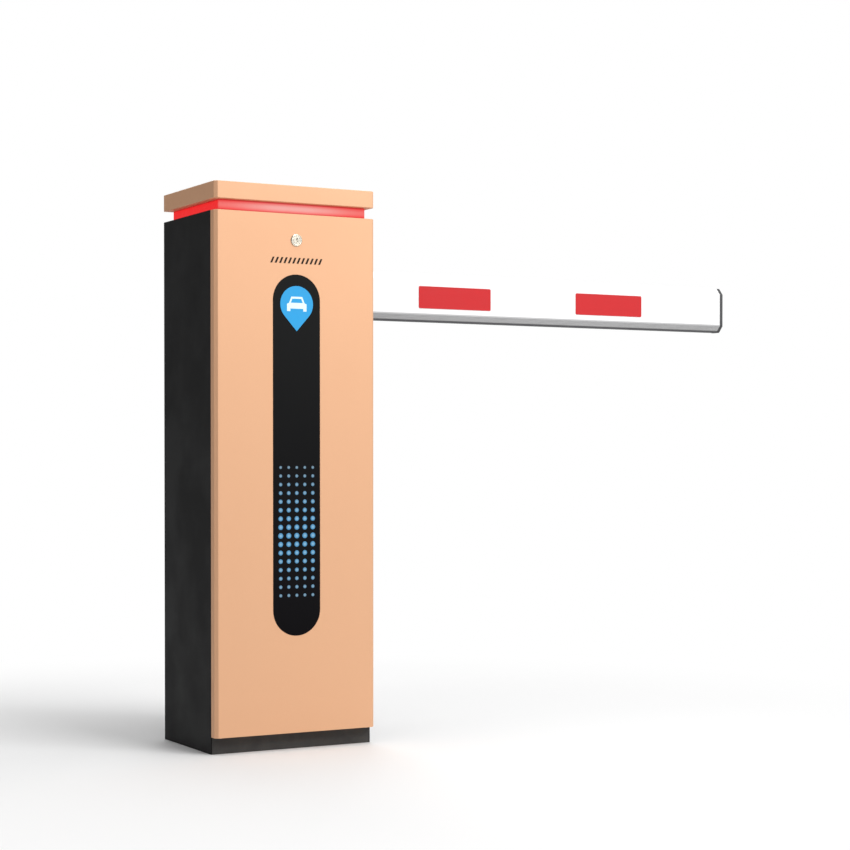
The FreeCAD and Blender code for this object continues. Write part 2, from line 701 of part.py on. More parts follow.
def inlay():
    """Black acrylic pill in the door with its flange glued behind the skin."""
    face = pill("inlay_wide", "inlay_bottom", "inlay_top", ("inlay_face", "door_inside"))
    flange = pill("inlay_wide + 2 * inlay_flange", "inlay_bottom - inlay_flange",
                  "inlay_top + inlay_flange", ("door_inside", "inlay_back"))
    sub_part(joined(face, flange), "inlay_panel")
    half = f"{(DOT_COLUMNS - 1) / 2} * dot_pitch_x + board_margin"
    sub_part(block((f"-({half})", half), ("inlay_back", "inlay_back + board_thick"),
                   ("dot_bottom - board_margin", "dot_top + board_margin")), "display_board")


def map_pin():
    """Round badge drawn down to a point by its two tangents, with a small car on it."""
    reach = "(badge_centre - badge_tip)"
    across = f"badge_radius * sqrt(1 - (badge_radius / {reach}) * (badge_radius / {reach}))"
    down = f"badge_centre - badge_radius * badge_radius / {reach}"
    blank = doc.addObject("PartDesign::Body", "map_pin_point")
    point = sketch_on(blank, "XZ", "-(inlay_face)")
    draw_polygon(point, [("0", "badge_tip"), (across, down), (f"-({across})", down)])
    pad(blank, point, "badge_thick")
    disc = round_bar("y", ("0", "badge_centre"), ("badge_face", "inlay_face"), "badge_radius")
    sub_part(joined(blank, disc), "map_pin_badge")

    body = new_body("pin_symbol")
    car = sketch_on(body, "XZ", "-(badge_face)")
    left_half = [(-0.5, -0.5), (-0.5, 0.0), (-0.4, 0.06), (-0.28, 0.5)]
    right_half = [(-x, z) for x, z in reversed(left_half)]
    arch = [(0.33, -0.5), (0.33, -0.32), (-0.33, -0.32), (-0.33, -0.5)]
    place = [(f"{x} * symbol_wide", f"badge_centre + {z} * symbol_high")
             for x, z in left_half + right_half + arch]
    draw_polygon(car, place)
    pad(body, car, "symbol_thick")
    window = sketch_on(body, "XZ", "-(badge_face)")
    glass = [(-0.23, 0.36), (-0.31, 0.08), (0.31, 0.08), (0.23, 0.36)]
    draw_polygon(window, [(f"{x} * symbol_wide", f"badge_centre + {z} * symbol_high")
                          for x, z in glass])
    pocket(body, window, "symbol_thick", reverse=True)


def dot_matrix():
    """Grid of round light dots, largest in its ninth row from the top."""
    dots = []
    for row in range(DOT_ROWS):
        fade = abs(row - LARGEST_DOT_ROW) / max(LARGEST_DOT_ROW, DOT_ROWS - 1 - LARGEST_DOT_ROW)
        radius = f"dot_large - {fade} * (dot_large - dot_small)"
        for column in range(DOT_COLUMNS):
            x = f"{column - (DOT_COLUMNS - 1) / 2} * dot_pitch_x"
            z = f"dot_bottom + {row} * dot_pitch_z"
            dots.append(round_bar("y", (x, z), ("inlay_face - dot_thick", "inlay_face"), radius))
    sub_part(group(*dots), "dot_lenses")


def legend():
    """Row of slanted marks printed under the lock."""
    marks = []
    step = f"legend_wide / {LEGEND_MARKS}"
    for number in range(LEGEND_MARKS):
        left = f"-legend_wide / 2 + {number} * {step}"
        mark = doc.addObject("PartDesign::Body", "mark")
        shape = sketch_on(mark, "XZ", "-(door_face)")
        low = "legend_centre - legend_high / 2"
        high = "legend_centre + legend_high / 2"
        draw_polygon(shape, [(left, low), (f"{left} + {MARK_SHARE} * {step}", low),
                             (f"{left} + {step}", high),
                             (f"{left} + {1 - MARK_SHARE} * {step}", high)])
        pad(mark, shape, "legend_thick")
        marks.append(mark)
    sub_part(group(*marks), "legend_marks")


def lock():
    """Cam lock: fixed body, turning plug with its key slot, and the cam on the plug."""
    centre = ("0", "lock_height")
    face = round_bar("y", centre, ("door_face - lock_proud", "door_face"), "lock_face")
    barrel = round_bar("y", centre, ("door_face", "lock_back"), "lock_barrel")
    bore = round_bar("y", centre, ("door_face - lock_proud - 1", "lock_back + 1"),
                     "lock_core + running_gap")
    sub_part(cut(joined(face, barrel), bore), "lock_body")
    plug = round_bar("y", centre, ("door_face - lock_proud", "cam_back - cam_thick"), "lock_core")
    slot = block(("-key_slot_wide / 2", "key_slot_wide / 2"),
                 ("door_face - lock_proud - 1", "door_face - lock_proud + key_slot_deep"),
                 ("lock_height - key_slot_high / 2", "lock_height + key_slot_high / 2"))
    sub_part(cut(plug, slot), "lock_plug")
    y = ("cam_back - cam_thick", "cam_back")
    sub_part(joined(round_bar("y", centre, y, "cam_wide / 2"),
                    block(("-cam_reach", "0"), y, ("lock_height - cam_wide / 2",
                                                   "lock_height + cam_wide / 2"))), "lock_cam")


# ---------------------------------------------------------------- machine
def bolt_places():
    """Centres of the bolts that hold the bearing housing, as (x, z)."""
    return corners("housing_bolt_span", "housing_bolt_span", "shaft_height")


def machine_plate():
    plate = block(("-plate_wide / 2", "plate_wide / 2"), ("plate_front", "plate_back"),
                  ("base_thick", "plate_top"))
    through = ("plate_front - 1", "plate_back + 1")
    holes = [round_bar("y", ("0", "shaft_height"), through, "housing_barrel + housing_hole_gap")]
    holes += [round_bar("y", place, through, "bolt_radius + bolt_gap") for place in bolt_places()]
    sub_part(cut(plate, *holes), "machine_plate")
    spacers = []
    for level in SPACER_LEVELS:
        for side in (-1, 1):
            centre = (f"{side} * (plate_wide / 2 - spacer_edge)", f"{level} * plate_top")
            spacers.append(round_bar("y", centre, ("plate_back", "back_in"), "spacer_radius"))
    sub_part(group(*spacers), "plate_spacers")


def bearing_housing():
    """Flanged cartridge that holds both ball bearings of the main shaft."""
    centre = ("0", "shaft_height")
    solid = joined(round_bar("y", centre, ("housing_front", "plate_front"), "housing_flange"),
                   round_bar("y", centre, ("plate_front", "housing_back"), "housing_barrel"))
    bore = round_bar("y", centre, ("housing_front - 1", "housing_back + 1"),
                     "bearing_outer + press_gap")
    holes = [round_bar("y", place, ("housing_front - 1", "plate_front + 1"),
                       "bolt_radius + bolt_gap") for place in bolt_places()]
    sub_part(cut(solid, bore, *holes), "bearing_housing")
    front = ("housing_front + bearing_end", "housing_front + bearing_end + bearing_wide")
    rear = ("housing_back - bearing_end - bearing_wide", "housing_back - bearing_end")
    sub_part(group(ring("y", centre, front, "bearing_outer", "shaft_radius + running_gap"),
                   ring("y", centre, rear, "bearing_outer", "shaft_radius + running_gap")),
             "shaft_bearings")
    bolts = []
    for place in bolt_places():
        shank = round_bar("y", place, ("housing_front", "plate_back + bolt_end"), "bolt_radius")
        head = round_bar("y", place, ("housing_front - bolt_head_high", "housing_front"),
                         "bolt_head")
        bolts.append(joined(head, shank))
    sub_part(group(*bolts), "housing_bolts")
    sub_part(ring("y", centre, ("back", "back + seal_thick"), "shaft_radius + seal_wide",
                  "shaft_radius + running_gap"), "shaft_seal")


def gearbox():
    """Worm gearbox: open-fronted housing, cover plate, output shaft and worm wheel."""
    x = ("-gearbox_left", "gearbox_right")
    z = ("gearbox_bottom", "gearbox_top")
    wall = "gearbox_wall"
    cavity = block((f"-gearbox_left + {wall}", f"gearbox_right - {wall}"),
                   ("gearbox_inside - 1", f"plate_front - {wall}"),
                   (f"gearbox_bottom + {wall}", f"gearbox_top - {wall}"))
    centre = ("0", "drive_height")
    rear_bore = round_bar("y", centre,
                          (f"plate_front - {wall} - 1", "plate_front - output_end / 2"),
                          "output_radius + running_gap")
    worm_bore = round_bar("z", ("worm_x", "worm_y"),
                          ("gearbox_bottom - 1", "gearbox_top - worm_seat"),
                          "worm_shaft + running_gap")
    sub_part(cut(block(x, ("gearbox_inside", "plate_front"), z), cavity, rear_bore, worm_bore),
             "gearbox_housing")
    cover = block(x, ("gearbox_front", "gearbox_inside"), z)
    cover_bore = round_bar("y", centre, ("gearbox_front - 1", "gearbox_inside + 1"),
                           "output_radius + running_gap")
    sub_part(cut(cover, cover_bore), "gearbox_cover")
    sub_part(round_bar("y", centre, ("arm_front - output_nose", "plate_front - output_end"),
                       "output_radius"),
             "output_shaft")

    wheel = new_body("worm_wheel")
    disc = sketch_on(wheel, "XY")
    draw_circle(disc, ("0", "0"), "wheel_radius")
    draw_circle(disc, ("0", "0"), "output_radius + press_gap")
    pad(wheel, disc, "wheel_wide")
    gap = sketch_on(wheel, "XY")
    draw_polygon(gap, [("wheel_radius - wheel_tooth", "-tooth_gap_root / 2"),
                       ("wheel_radius + 1", "-tooth_gap_tip / 2"),
                       ("wheel_radius + 1", "tooth_gap_tip / 2"),
                       ("wheel_radius - wheel_tooth", "tooth_gap_root / 2")])
    tooth_gap = pocket(wheel, gap, "wheel_wide", reverse=True)
    around(wheel, tooth_gap, "Z", WHEEL_TEETH)
    wheel.Placement = Placement(Vector(), Rotation(Vector(1, 0, 0), 90))
    move_to(wheel, "0", "worm_y + wheel_wide / 2", "drive_height")


def motor():
    """Finned motor under the gearbox; its shaft carries the worm above and a handwheel below."""
    centre = ("worm_x", "worm_y")
    body = new_body("motor_housing")
    disc = sketch_on(body, "XY")
    draw_circle(disc, ("0", "0"), "motor_radius")
    pad(body, disc, "motor_long")
    hollow = sketch_on(body, "XY", "motor_end")
    draw_circle(hollow, ("0", "0"), "motor_radius - motor_fin - motor_wall")
    pocket(body, hollow, "motor_long - motor_end", reverse=True)
    bore = sketch_on(body, "XY")
    draw_circle(bore, ("0", "0"), "worm_shaft + running_gap")
    pocket(body, bore, "motor_long", reverse=True)
    groove = sketch_on(body, "XY", "motor_end")
    draw_polygon(groove, rectangle(("motor_radius - motor_fin", "motor_radius + 1"),
                                   ("-motor_fin_gap / 2", "motor_fin_gap / 2")))
    fin_gap = pocket(body, groove, "motor_long - 2 * motor_end", reverse=True)
    around(body, fin_gap, "Z", MOTOR_FINS)
    move_to(body, *centre, "motor_bottom")
    worm_top = "gearbox_top - worm_seat - worm_end_gap"
    rotor_z = ("motor_bottom + rotor_up", "motor_bottom + rotor_up + rotor_long")
    worm_z = ("drive_height - worm_long / 2", "drive_height + worm_long / 2")
    sub_part(joined(round_bar("z", centre, ("handwheel_bottom", worm_top), "worm_shaft"),
                    round_bar("z", centre, rotor_z, "rotor_radius"),
                    round_bar("z", centre, worm_z, "worm_radius")), "worm_shaft")
    rim = ring("z", centre, ("handwheel_bottom", "handwheel_top"), "handwheel_radius",
               "worm_shaft + press_gap")
    finger_holes = [round_bar("z", (f"worm_x + {x} * finger_ring", f"worm_y + {y} * finger_ring"),
                              ("handwheel_bottom - 1", "handwheel_top + 1"), "finger_hole")
                    for x, y in ((1, 0), (-1, 0), (0, 1), (0, -1))]
    sub_part(cut(rim, *finger_holes), "handwheel")


def arm(label, height, hub_back, shaft):
    """Lever from a shaft up to its link pin, which stands out to the front."""
    y = ("arm_front", "arm_back")
    pin = ("-arm_offset", f"{height} + arm_offset")
    body = doc.addObject("PartDesign::Body", f"{label}_web")
    web = sketch_on(body, "XZ", "-(arm_back)")
    half = "(arm_eye * sqrt(0.5))"
    draw_polygon(web, [(half, f"{height} + {half}"),
                       (f"-arm_offset + {half}", f"{height} + arm_offset + {half}"),
                       (f"-arm_offset - {half}", f"{height} + arm_offset - {half}"),
                       (f"-{half}", f"{height} - {half}")])
    pad(body, web, "arm_thick")
    solid = joined(body, round_bar("y", ("0", height), ("arm_front", hub_back), "arm_hub"),
                   round_bar("y", pin, y, "arm_eye"),
                   round_bar("y", pin, ("pin_front", "arm_front"), "link_pin"))
    bore = round_bar("y", ("0", height), ("arm_front - 1", f"{hub_back} + 1"),
                     f"{shaft} + press_gap")
    sub_part(cut(solid, bore), label)


def linkage():
    """Main shaft lever, gearbox crank and the rod between them: a parallelogram."""
    arm("shaft_lever", "shaft_height", "arm_back + lever_hub_back", "shaft_radius")
    arm("crank_arm", "drive_height", "arm_back", "output_radius")
    low = ("-arm_offset", "drive_height + arm_offset")
    high = ("-arm_offset", "shaft_height + arm_offset")
    y = ("link_front", "link_back")
    shank = block(("-arm_offset - link_wide / 2", "-arm_offset + link_wide / 2"), y,
                  (low[1], high[1]))
    through = ("link_front - 1", "link_back + 1")
    sub_part(cut(joined(shank, round_bar("y", low, y, "link_eye"),
                        round_bar("y", high, y, "link_eye")),
                 round_bar("y", low, through, "link_pin + running_gap"),
                 round_bar("y", high, through, "link_pin + open_pivot_gap")), "connecting_rod")


def crank_stops():
    """Two rubber buffers on the gearbox cover, one at each end of the crank's quarter turn.

    Each stands square off the crank's side line, arm_eye + stop_radius + stop_gap away.
    """
    away = "(arm_eye + stop_radius + stop_gap)"
    along = f"sqrt(stop_reach * stop_reach - {away} * {away})"
    x = f"({away} - {along}) * sqrt(0.5)"
    lift = f"({away} + {along}) * sqrt(0.5)"
    y = ("gearbox_front - stop_long", "gearbox_front")
    sub_part(group(round_bar("y", (x, f"drive_height + {lift}"), y, "stop_radius"),
                   round_bar("y", (x, f"drive_height - {lift}"), y, "stop_radius")),
             "crank_stops")


def main_shaft():
    """Turned shaft with the boom's flange and its hub welded on the outer end."""
    centre = ("0", "shaft_height")
    bar = round_bar("y", centre, ("arm_front - shaft_nose", "boom_face"), "shaft_radius")
    plate = block(("-flange_wide / 2", "flange_wide / 2"), ("flange_face", "boom_face"),
                  ("shaft_height - flange_high / 2", "shaft_height + flange_high / 2"))
    hub = round_bar("y", centre, ("back + hub_gap", "flange_face"), "flange_hub")
    holes = [round_bar("y", place, ("flange_face - 1", "boom_face + 1"), "boom_bolt + bolt_gap")
             for place in boom_bolt_places()]
    sub_part(cut(joined(bar, plate, hub), *holes), "main_shaft")


def balance_gear():
    """Grooved quadrant on the main shaft, rope, hook, spring and floor anchor.

    The quadrant turns with the boom, and its rope hangs straight down at its left edge.
    """
    centre = ("0", "shaft_height")
    sector = doc.addObject("Part::Cylinder", "sector")
    sector.Angle = SECTOR_SWEEP
    sector.Placement = Placement(Vector(), Rotation(Vector(1, 0, 0), 90)
                                 * Rotation(Vector(0, 0, 1), SECTOR_START))
    sector.setExpression("Radius", formula("quadrant_radius + quadrant_rim"))
    sector.setExpression("Height", formula("quadrant_thick"))
    move_to(sector, "0", "quadrant_back", "shaft_height")
    hub = round_bar("y", centre, ("quadrant_front - quadrant_hub_gap",
                                  "quadrant_back + quadrant_hub_gap"), "flange_hub")
    groove = ring("y", centre, ("rope_y - rope_groove / 2", "rope_y + rope_groove / 2"),
                  "quadrant_radius + quadrant_rim + 1",
                  "quadrant_radius - rope_radius - rope_seat")
    bore = round_bar("y", centre, ("quadrant_front - quadrant_hub_gap - 1",
                                   "quadrant_back + quadrant_hub_gap + 1"),
                     "shaft_radius + press_gap")
    sub_part(cut(joined(sector, hub), groove, bore), "quadrant")
    line = ("-quadrant_radius", "rope_y")
    sub_part(round_bar("z", line, ("hook_top", "shaft_height"), "rope_radius"), "balance_rope")
    hook = block(("-quadrant_radius - hook_wide / 2", "-quadrant_radius + hook_wide / 2"),
                 ("rope_y - hook_deep / 2", "rope_y + hook_deep / 2"), ("hook_bottom", "hook_top"))
    eye = round_bar("y", ("-quadrant_radius", "hook_bottom + hook_eye_up"),
                    ("rope_y - hook_deep", "rope_y + hook_deep"), "hook_eye")
    sub_part(cut(hook, eye), "spring_hook")
    sub_part(ring("z", line, ("spring_bottom", "hook_bottom"), "spring_radius",
                  "spring_radius - spring_wire"), "balance_spring")
    foot = block(("-quadrant_radius - anchor_foot / 2", "-quadrant_radius + anchor_foot / 2"),
                 ("rope_y - anchor_foot / 2", "rope_y + anchor_foot_back"),
                 ("base_thick", "base_thick + anchor_foot_thick"))
    stud = round_bar("z", line, ("base_thick", "spring_bottom - saucer_thick"), "anchor_rod")
    saucer = round_bar("z", line, ("spring_bottom - saucer_thick", "spring_bottom"),
                       "spring_radius")
    sub_part(joined(foot, stud, saucer), "spring_anchor")


# ---------------------------------------------------------------- boom
def boom_section(inset):
    """Octagon of the boom, as (y, z) corners, drawn in by an inset on every side.

    BEVEL_EASE shortens the bevels so that their walls keep about the same thickness.
    """
    low = f"(boom_face + {inset})"
    high = f"(boom_rear - {inset})"
    under = f"(boom_under + {inset})"
    top = f"(boom_top - {inset})"
    lean = f"(boom_chamfer_y - {BEVEL_EASE} * {inset})"
    drop = f"(boom_chamfer_z - {BEVEL_EASE} * {inset})"
    return [(low, f"{under} + {drop}"), (f"{low} + {lean}", under), (f"{high} - {lean}", under),
            (high, f"{under} + {drop}"), (high, f"{top} - {drop}"), (f"{high} - {lean}", top),
            (f"{low} + {lean}", top), (low, f"{top} - {drop}")]


def boom_bolt_places():
    return corners("boom_bolt_x", "boom_bolt_z", "shaft_height")


def section_body(name, outline, start, end):
    """Part of the boom's length as one body; the outline is drawn across the boom."""
    body = doc.addObject("PartDesign::Body", name)
    sketch = sketch_on(body, "YZ", start)
    draw_polygon(sketch, outline)
    pad(body, sketch, f"({end}) - ({start})")
    return body


def boom():
    """Octagonal aluminium tube with its bumper strip, end caps, reflectors and clamp."""
    start = "-boom_tail"
    end = "boom_end"
    outer = section_body("boom_outer", boom_section("0"), start, end)
    strip_inner = section_body("strip_inner", boom_section("strip_thick"), f"{start} - 1",
                               f"{end} + 1")
    inner = section_body("boom_inner", boom_section("(strip_thick + boom_wall)"),
                         f"{start} - 1", f"{end} + 1")
    below = block((f"{start} - 2", f"{end} + 2"), ("boom_face - 5", "boom_rear + 5"),
                  ("boom_under - 5", "boom_under + strip_high"))
    strip_zone = cut(below, strip_inner)
    holes = [round_bar("y", place, ("boom_face - 5", "boom_rear + 5"), "boom_bolt + bolt_gap")
             for place in boom_bolt_places()]
    sub_part(cut(outer, inner, strip_zone, *holes), "boom_tube")

    strip = doc.addObject("Part::Common", "strip")
    strip.Base = section_body("strip_outer", boom_section("0"), start, end)
    strip.Tool = cut(block((start, end), ("boom_face - 5", "boom_rear + 5"),
                           ("boom_under - 5", "boom_under + strip_high")),
                     section_body("strip_core", boom_section("strip_thick"), f"{start} - 1",
                                  f"{end} + 1"))
    sub_part(strip, "bumper_strip")

    plug = "(strip_thick + boom_wall + plug_gap)"
    caps = [joined(section_body("end_cap", boom_section("-cap_lip"), end, f"{end} + cap_thick"),
                   section_body("end_plug", boom_section(plug), f"{end} - cap_plug", end)),
            joined(section_body("tail_cap", boom_section("-cap_lip"), f"{start} - cap_thick",
                                start),
                   section_body("tail_plug", boom_section(plug), start, f"{start} + cap_plug"))]
    sub_part(group(*caps), "boom_caps")

    tiles = []
    for y in (("boom_face - reflector_thick", "boom_face"),
              ("boom_rear", "boom_rear + reflector_thick")):
        for number in range(2):
            centre = f"reflector_first + {number} * reflector_pitch"
            level = "shaft_height + reflector_up"
            tiles.append(block((f"{centre} - reflector_long / 2", f"{centre} + reflector_long / 2"),
                               y, (f"{level} - reflector_high / 2",
                                   f"{level} + reflector_high / 2")))
    sub_part(group(*tiles), "reflectors")

    clamp_back = "boom_rear + clamp_thick"
    plate = block(("-flange_wide / 2", "flange_wide / 2"), ("boom_rear", clamp_back),
                  ("shaft_height - flange_high / 2", "shaft_height + flange_high / 2"))
    clamp_holes = [round_bar("y", place, ("boom_rear - 1", f"{clamp_back} + 1"),
                             "boom_bolt + bolt_gap") for place in boom_bolt_places()]
    sub_part(cut(plate, *clamp_holes), "clamp_plate")
    bolts = []
    for place in boom_bolt_places():
        shank = round_bar("y", place, ("flange_face - bolt_head_thick", clamp_back), "boom_bolt")
        head = round_bar("y", place, (clamp_back, f"{clamp_back} + bolt_head_thick"),
                         "boom_bolt_head")
        nut = round_bar("y", place, ("flange_face - bolt_head_thick", "flange_face"),
                        "boom_bolt_head")
        bolts.append(joined(shank, head, nut))
    sub_part(group(*bolts), "boom_bolts")


# ---------------------------------------------------------------- electrical gear
def electrical_gear():
    """DIN rail on the machine plate with terminals and a breaker; controller box below."""
    rail_z = ("rail_height - rail_high / 2", "rail_height + rail_high / 2")
    sub_part(block(("rail_left", "rail_right"), ("rail_face", "plate_front"), rail_z), "din_rail")
    blocks = []
    for number in range(TERMINALS):
        left = f"rail_left + terminal_first + {number} * (terminal_wide + terminal_gap)"
        blocks.append(block((left, f"{left} + terminal_wide"),
                            ("rail_face - terminal_deep", "rail_face"),
                            ("rail_height - terminal_high / 2", "rail_height + terminal_high / 2")))
    sub_part(group(*blocks), "terminal_blocks")
    case = block(("breaker_left", "breaker_left + breaker_wide"), ("breaker_face", "rail_face"),
                 ("rail_height - breaker_high / 2", "rail_height + breaker_high / 2"))
    half = "(toggle_wide / 2 + toggle_gap)"
    slot = joined(round_bar("x", ("toggle_y", "rail_height"),
                            (f"toggle_x - {half}", f"toggle_x + {half}"),
                            "toggle_radius + toggle_gap"),
                  block((f"toggle_x - {half}", f"toggle_x + {half}"),
                        ("breaker_face - 1", "toggle_y"),
                        ("rail_height - toggle_radius - toggle_gap",
                         "rail_height + toggle_radius + toggle_gap")))
    pin_hole = round_bar("x", ("toggle_y", "rail_height"),
                         ("toggle_x - toggle_wide", "toggle_x + toggle_wide"),
                         "axle_radius + running_gap")
    sub_part(cut(case, slot, pin_hole), "breaker")
    drum = round_bar("x", ("toggle_y", "rail_height"),
                     ("toggle_x - toggle_wide / 2", "toggle_x + toggle_wide / 2"),
                     "toggle_radius")
    axle = round_bar("x", ("toggle_y", "rail_height"),
                     ("toggle_x - axle_long / 2", "toggle_x + axle_long / 2"), "axle_radius")
    paddle = block(("toggle_x - toggle_wide / 2", "toggle_x + toggle_wide / 2"),
                   ("toggle_y - toggle_long", "toggle_y"),
                   ("rail_height + toggle_lift", "rail_height + toggle_lift + toggle_thick"))
    sub_part(joined(drum, axle, paddle), "breaker_lever")
    sub_part(block(("control_left", "control_left + control_wide"),
                   ("plate_front - control_deep", "plate_front"),
                   ("control_bottom", "control_bottom + control_high")), "controller_box")


# ---------------------------------------------------------------- assembly
base_plate()
cabinet_walls()
light_band()
hood()
hood_posts()
door_pan()
door_fittings()
inlay()
map_pin()
dot_matrix()
legend()
lock()
machine_plate()
bearing_housing()
gearbox()
motor()
linkage()
crank_stops()
main_shaft()
balance_gear()
boom()
electrical_gear()

doc.recompute()

faults = [f"{obj.Name}: {obj.State}" for obj in doc.Objects
          if "Invalid" in obj.State or "Error" in obj.State]
for obj in sub_parts:
    if obj.Shape.isNull() or not obj.Shape.isValid() or not obj.Shape.Solids:
        faults.append(f"{obj.Label}: no valid solid")
if faults:
    raise RuntimeError("; ".join(faults))

os.makedirs("parts", exist_ok=True)
for obj in sub_parts:
    obj.Shape.exportStep(f"parts/{obj.Label}.step")
    print(f"{obj.Label}: {len(obj.Shape.Solids)} solids, {obj.Shape.Volume / 1000:.1f} cm3")
print(f"{len(sub_parts)} sub-parts written")
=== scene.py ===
import json
import math

import bmesh
import bpy
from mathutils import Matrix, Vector


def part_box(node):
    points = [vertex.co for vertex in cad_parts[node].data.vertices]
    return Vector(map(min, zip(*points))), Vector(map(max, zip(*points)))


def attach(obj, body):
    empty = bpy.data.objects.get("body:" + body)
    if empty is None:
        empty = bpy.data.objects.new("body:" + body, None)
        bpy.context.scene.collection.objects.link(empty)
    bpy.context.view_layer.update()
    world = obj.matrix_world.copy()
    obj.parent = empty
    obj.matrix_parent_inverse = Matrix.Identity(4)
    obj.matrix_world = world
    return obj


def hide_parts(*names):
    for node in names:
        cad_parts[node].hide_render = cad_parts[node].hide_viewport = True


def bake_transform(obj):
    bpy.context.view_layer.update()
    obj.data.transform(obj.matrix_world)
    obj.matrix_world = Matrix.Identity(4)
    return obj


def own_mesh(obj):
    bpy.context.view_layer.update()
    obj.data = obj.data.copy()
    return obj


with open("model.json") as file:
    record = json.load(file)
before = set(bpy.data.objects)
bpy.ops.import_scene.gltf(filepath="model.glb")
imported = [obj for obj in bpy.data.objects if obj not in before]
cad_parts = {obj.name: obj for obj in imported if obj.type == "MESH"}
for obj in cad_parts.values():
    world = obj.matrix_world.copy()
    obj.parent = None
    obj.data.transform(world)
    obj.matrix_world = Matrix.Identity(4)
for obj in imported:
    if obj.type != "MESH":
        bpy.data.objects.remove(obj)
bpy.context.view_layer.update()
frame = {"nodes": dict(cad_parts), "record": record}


# ---------------------------------------------------------------------------------- studio
# A pale floor that fades into white air, under soft light from above the front, with a camera
# at the height of the cabinet's waist, a little to its left.
def shader_tree(name):
    """New material, as (material, nodes, links, principled shader)."""
    material = bpy.data.materials.new(name)
    material.use_nodes = True
    tree = material.node_tree
    return material, tree.nodes, tree.links, tree.nodes["Principled BSDF"]


def add_node(tree_nodes, kind, **values):
    """Shader or geometry node; plain settings are lower case words, sockets start with a capital."""
    node = tree_nodes.new(kind)
    for label, value in values.items():
        if label[0].isupper():
            node.inputs[label.replace("_", " ")].default_value = value
        else:
            setattr(node, label, value)
    return node


def white_air():
    """World that lights the object softly and looks white to the camera."""
    world = bpy.data.worlds.new("studio_air")
    world.use_nodes = True
    bpy.context.scene.world = world
    air = world.node_tree
    air.nodes.clear()
    out = air.nodes.new("ShaderNodeOutputWorld")
    mix = air.nodes.new("ShaderNodeMixShader")
    ray = air.nodes.new("ShaderNodeLightPath")
    fill = add_node(air.nodes, "ShaderNodeBackground", Color=(1, 1, 1, 1), Strength=0.31)
    seen = add_node(air.nodes, "ShaderNodeBackground", Color=(1, 1, 1, 1), Strength=1.0)
    air.links.new(ray.outputs["Is Camera Ray"], mix.inputs["Fac"])
    air.links.new(fill.outputs["Background"], mix.inputs[1])
    air.links.new(seen.outputs["Background"], mix.inputs[2])
    air.links.new(mix.outputs["Shader"], out.inputs["Surface"])


def pale_floor(radius):
    mesh = bpy.data.meshes.new("floor")
    shape = bmesh.new()
    bmesh.ops.create_circle(shape, cap_ends=True, segments=96, radius=radius)
    shape.to_mesh(mesh)
    shape.free()
    floor = bpy.data.objects.new("floor", mesh)
    bpy.context.scene.collection.objects.link(floor)
    material, tree_nodes, links, shader = shader_tree("floor_paint")
    shader.inputs["Base Color"].default_value = (0.77, 0.77, 0.77, 1)
    shader.inputs["Roughness"].default_value = 0.9
    coordinates = tree_nodes.new("ShaderNodeTexCoord")
    away = add_node(tree_nodes, "ShaderNodeVectorMath", operation="LENGTH")
    fade = add_node(tree_nodes, "ShaderNodeMapRange", interpolation_type="SMOOTHSTEP",
                    From_Min=0.25, From_Max=1.7)
    ray = tree_nodes.new("ShaderNodeLightPath")
    strength = add_node(tree_nodes, "ShaderNodeMapRange", To_Min=0.65, To_Max=1.0)
    haze = add_node(tree_nodes, "ShaderNodeEmission", Color=(1, 1, 1, 1))
    mix = tree_nodes.new("ShaderNodeMixShader")
    links.new(ray.outputs["Is Camera Ray"], strength.inputs["Value"])
    links.new(strength.outputs["Result"], haze.inputs["Strength"])
    links.new(coordinates.outputs["Object"], away.inputs[0])
    links.new(away.outputs["Value"], fade.inputs["Value"])
    links.new(fade.outputs["Result"], mix.inputs["Fac"])
    links.new(shader.outputs["BSDF"], mix.inputs[1])
    links.new(haze.outputs["Emission"], mix.inputs[2])
    links.new(mix.outputs["Shader"], tree_nodes["Material Output"].inputs["Surface"])
    mesh.materials.append(material)


def soft_light(name, place, aim, size, power):
    lamp = bpy.data.lights.new(name, "AREA")
    lamp.shape = "SQUARE"
    lamp.size = size
    lamp.energy = power
    holder = bpy.data.objects.new(name, lamp)
    holder.location = place
    holder.rotation_euler = (Vector(aim) - Vector(place)).to_track_quat("-Z", "Y").to_euler()
    bpy.context.scene.collection.objects.link(holder)


def camera_at(place, yaw, pitch, focal, rise):
    lens = bpy.data.cameras.new("camera")
    lens.lens = focal
    lens.sensor_width = 36
    lens.shift_y = rise
    camera = bpy.data.objects.new("camera", lens)
    camera.location = place
    camera.rotation_euler = (math.radians(90 + pitch), 0, math.radians(-yaw))
    bpy.context.scene.collection.objects.link(camera)
    bpy.context.scene.camera = camera


bpy.context.scene.view_settings.view_transform = "Standard"
white_air()
pale_floor(radius=14)
soft_light("front_softbox", (1.1, -2.4, 2.5), (0.1, 0, 0.9), size=1.8, power=94)
soft_light("top_softbox", (0.3, -0.3, 3.6), (0.2, 0, 0.5), size=2.4, power=48)
soft_light("back_softbox", (1.2, 3.6, 2.2), (0.1, 0, 0.6), size=2.6, power=70)
camera_at((-1.5762, -3.4629, 0.5544), yaw=29.066, pitch=-0.875, focal=83.6, rise=0.068)


# ---------------------------------------------------------------------------------- cabinet body
# Folded and welded steel sheet in a fine black powder coat: sides, rear, plinth, door surround
# and roof plate. Free edges have the small radius that a shear and a file leave, and the rear
# panel is pop-riveted to the flanges of the sides.
nodes = frame["nodes"]
slot_of = {row["node"]: row["material_slot"] for row in frame["record"]["subparts"]}
body_of = {node: body for body, held in frame["record"]["behaviour"]["bodies"].items()
           for node in held}


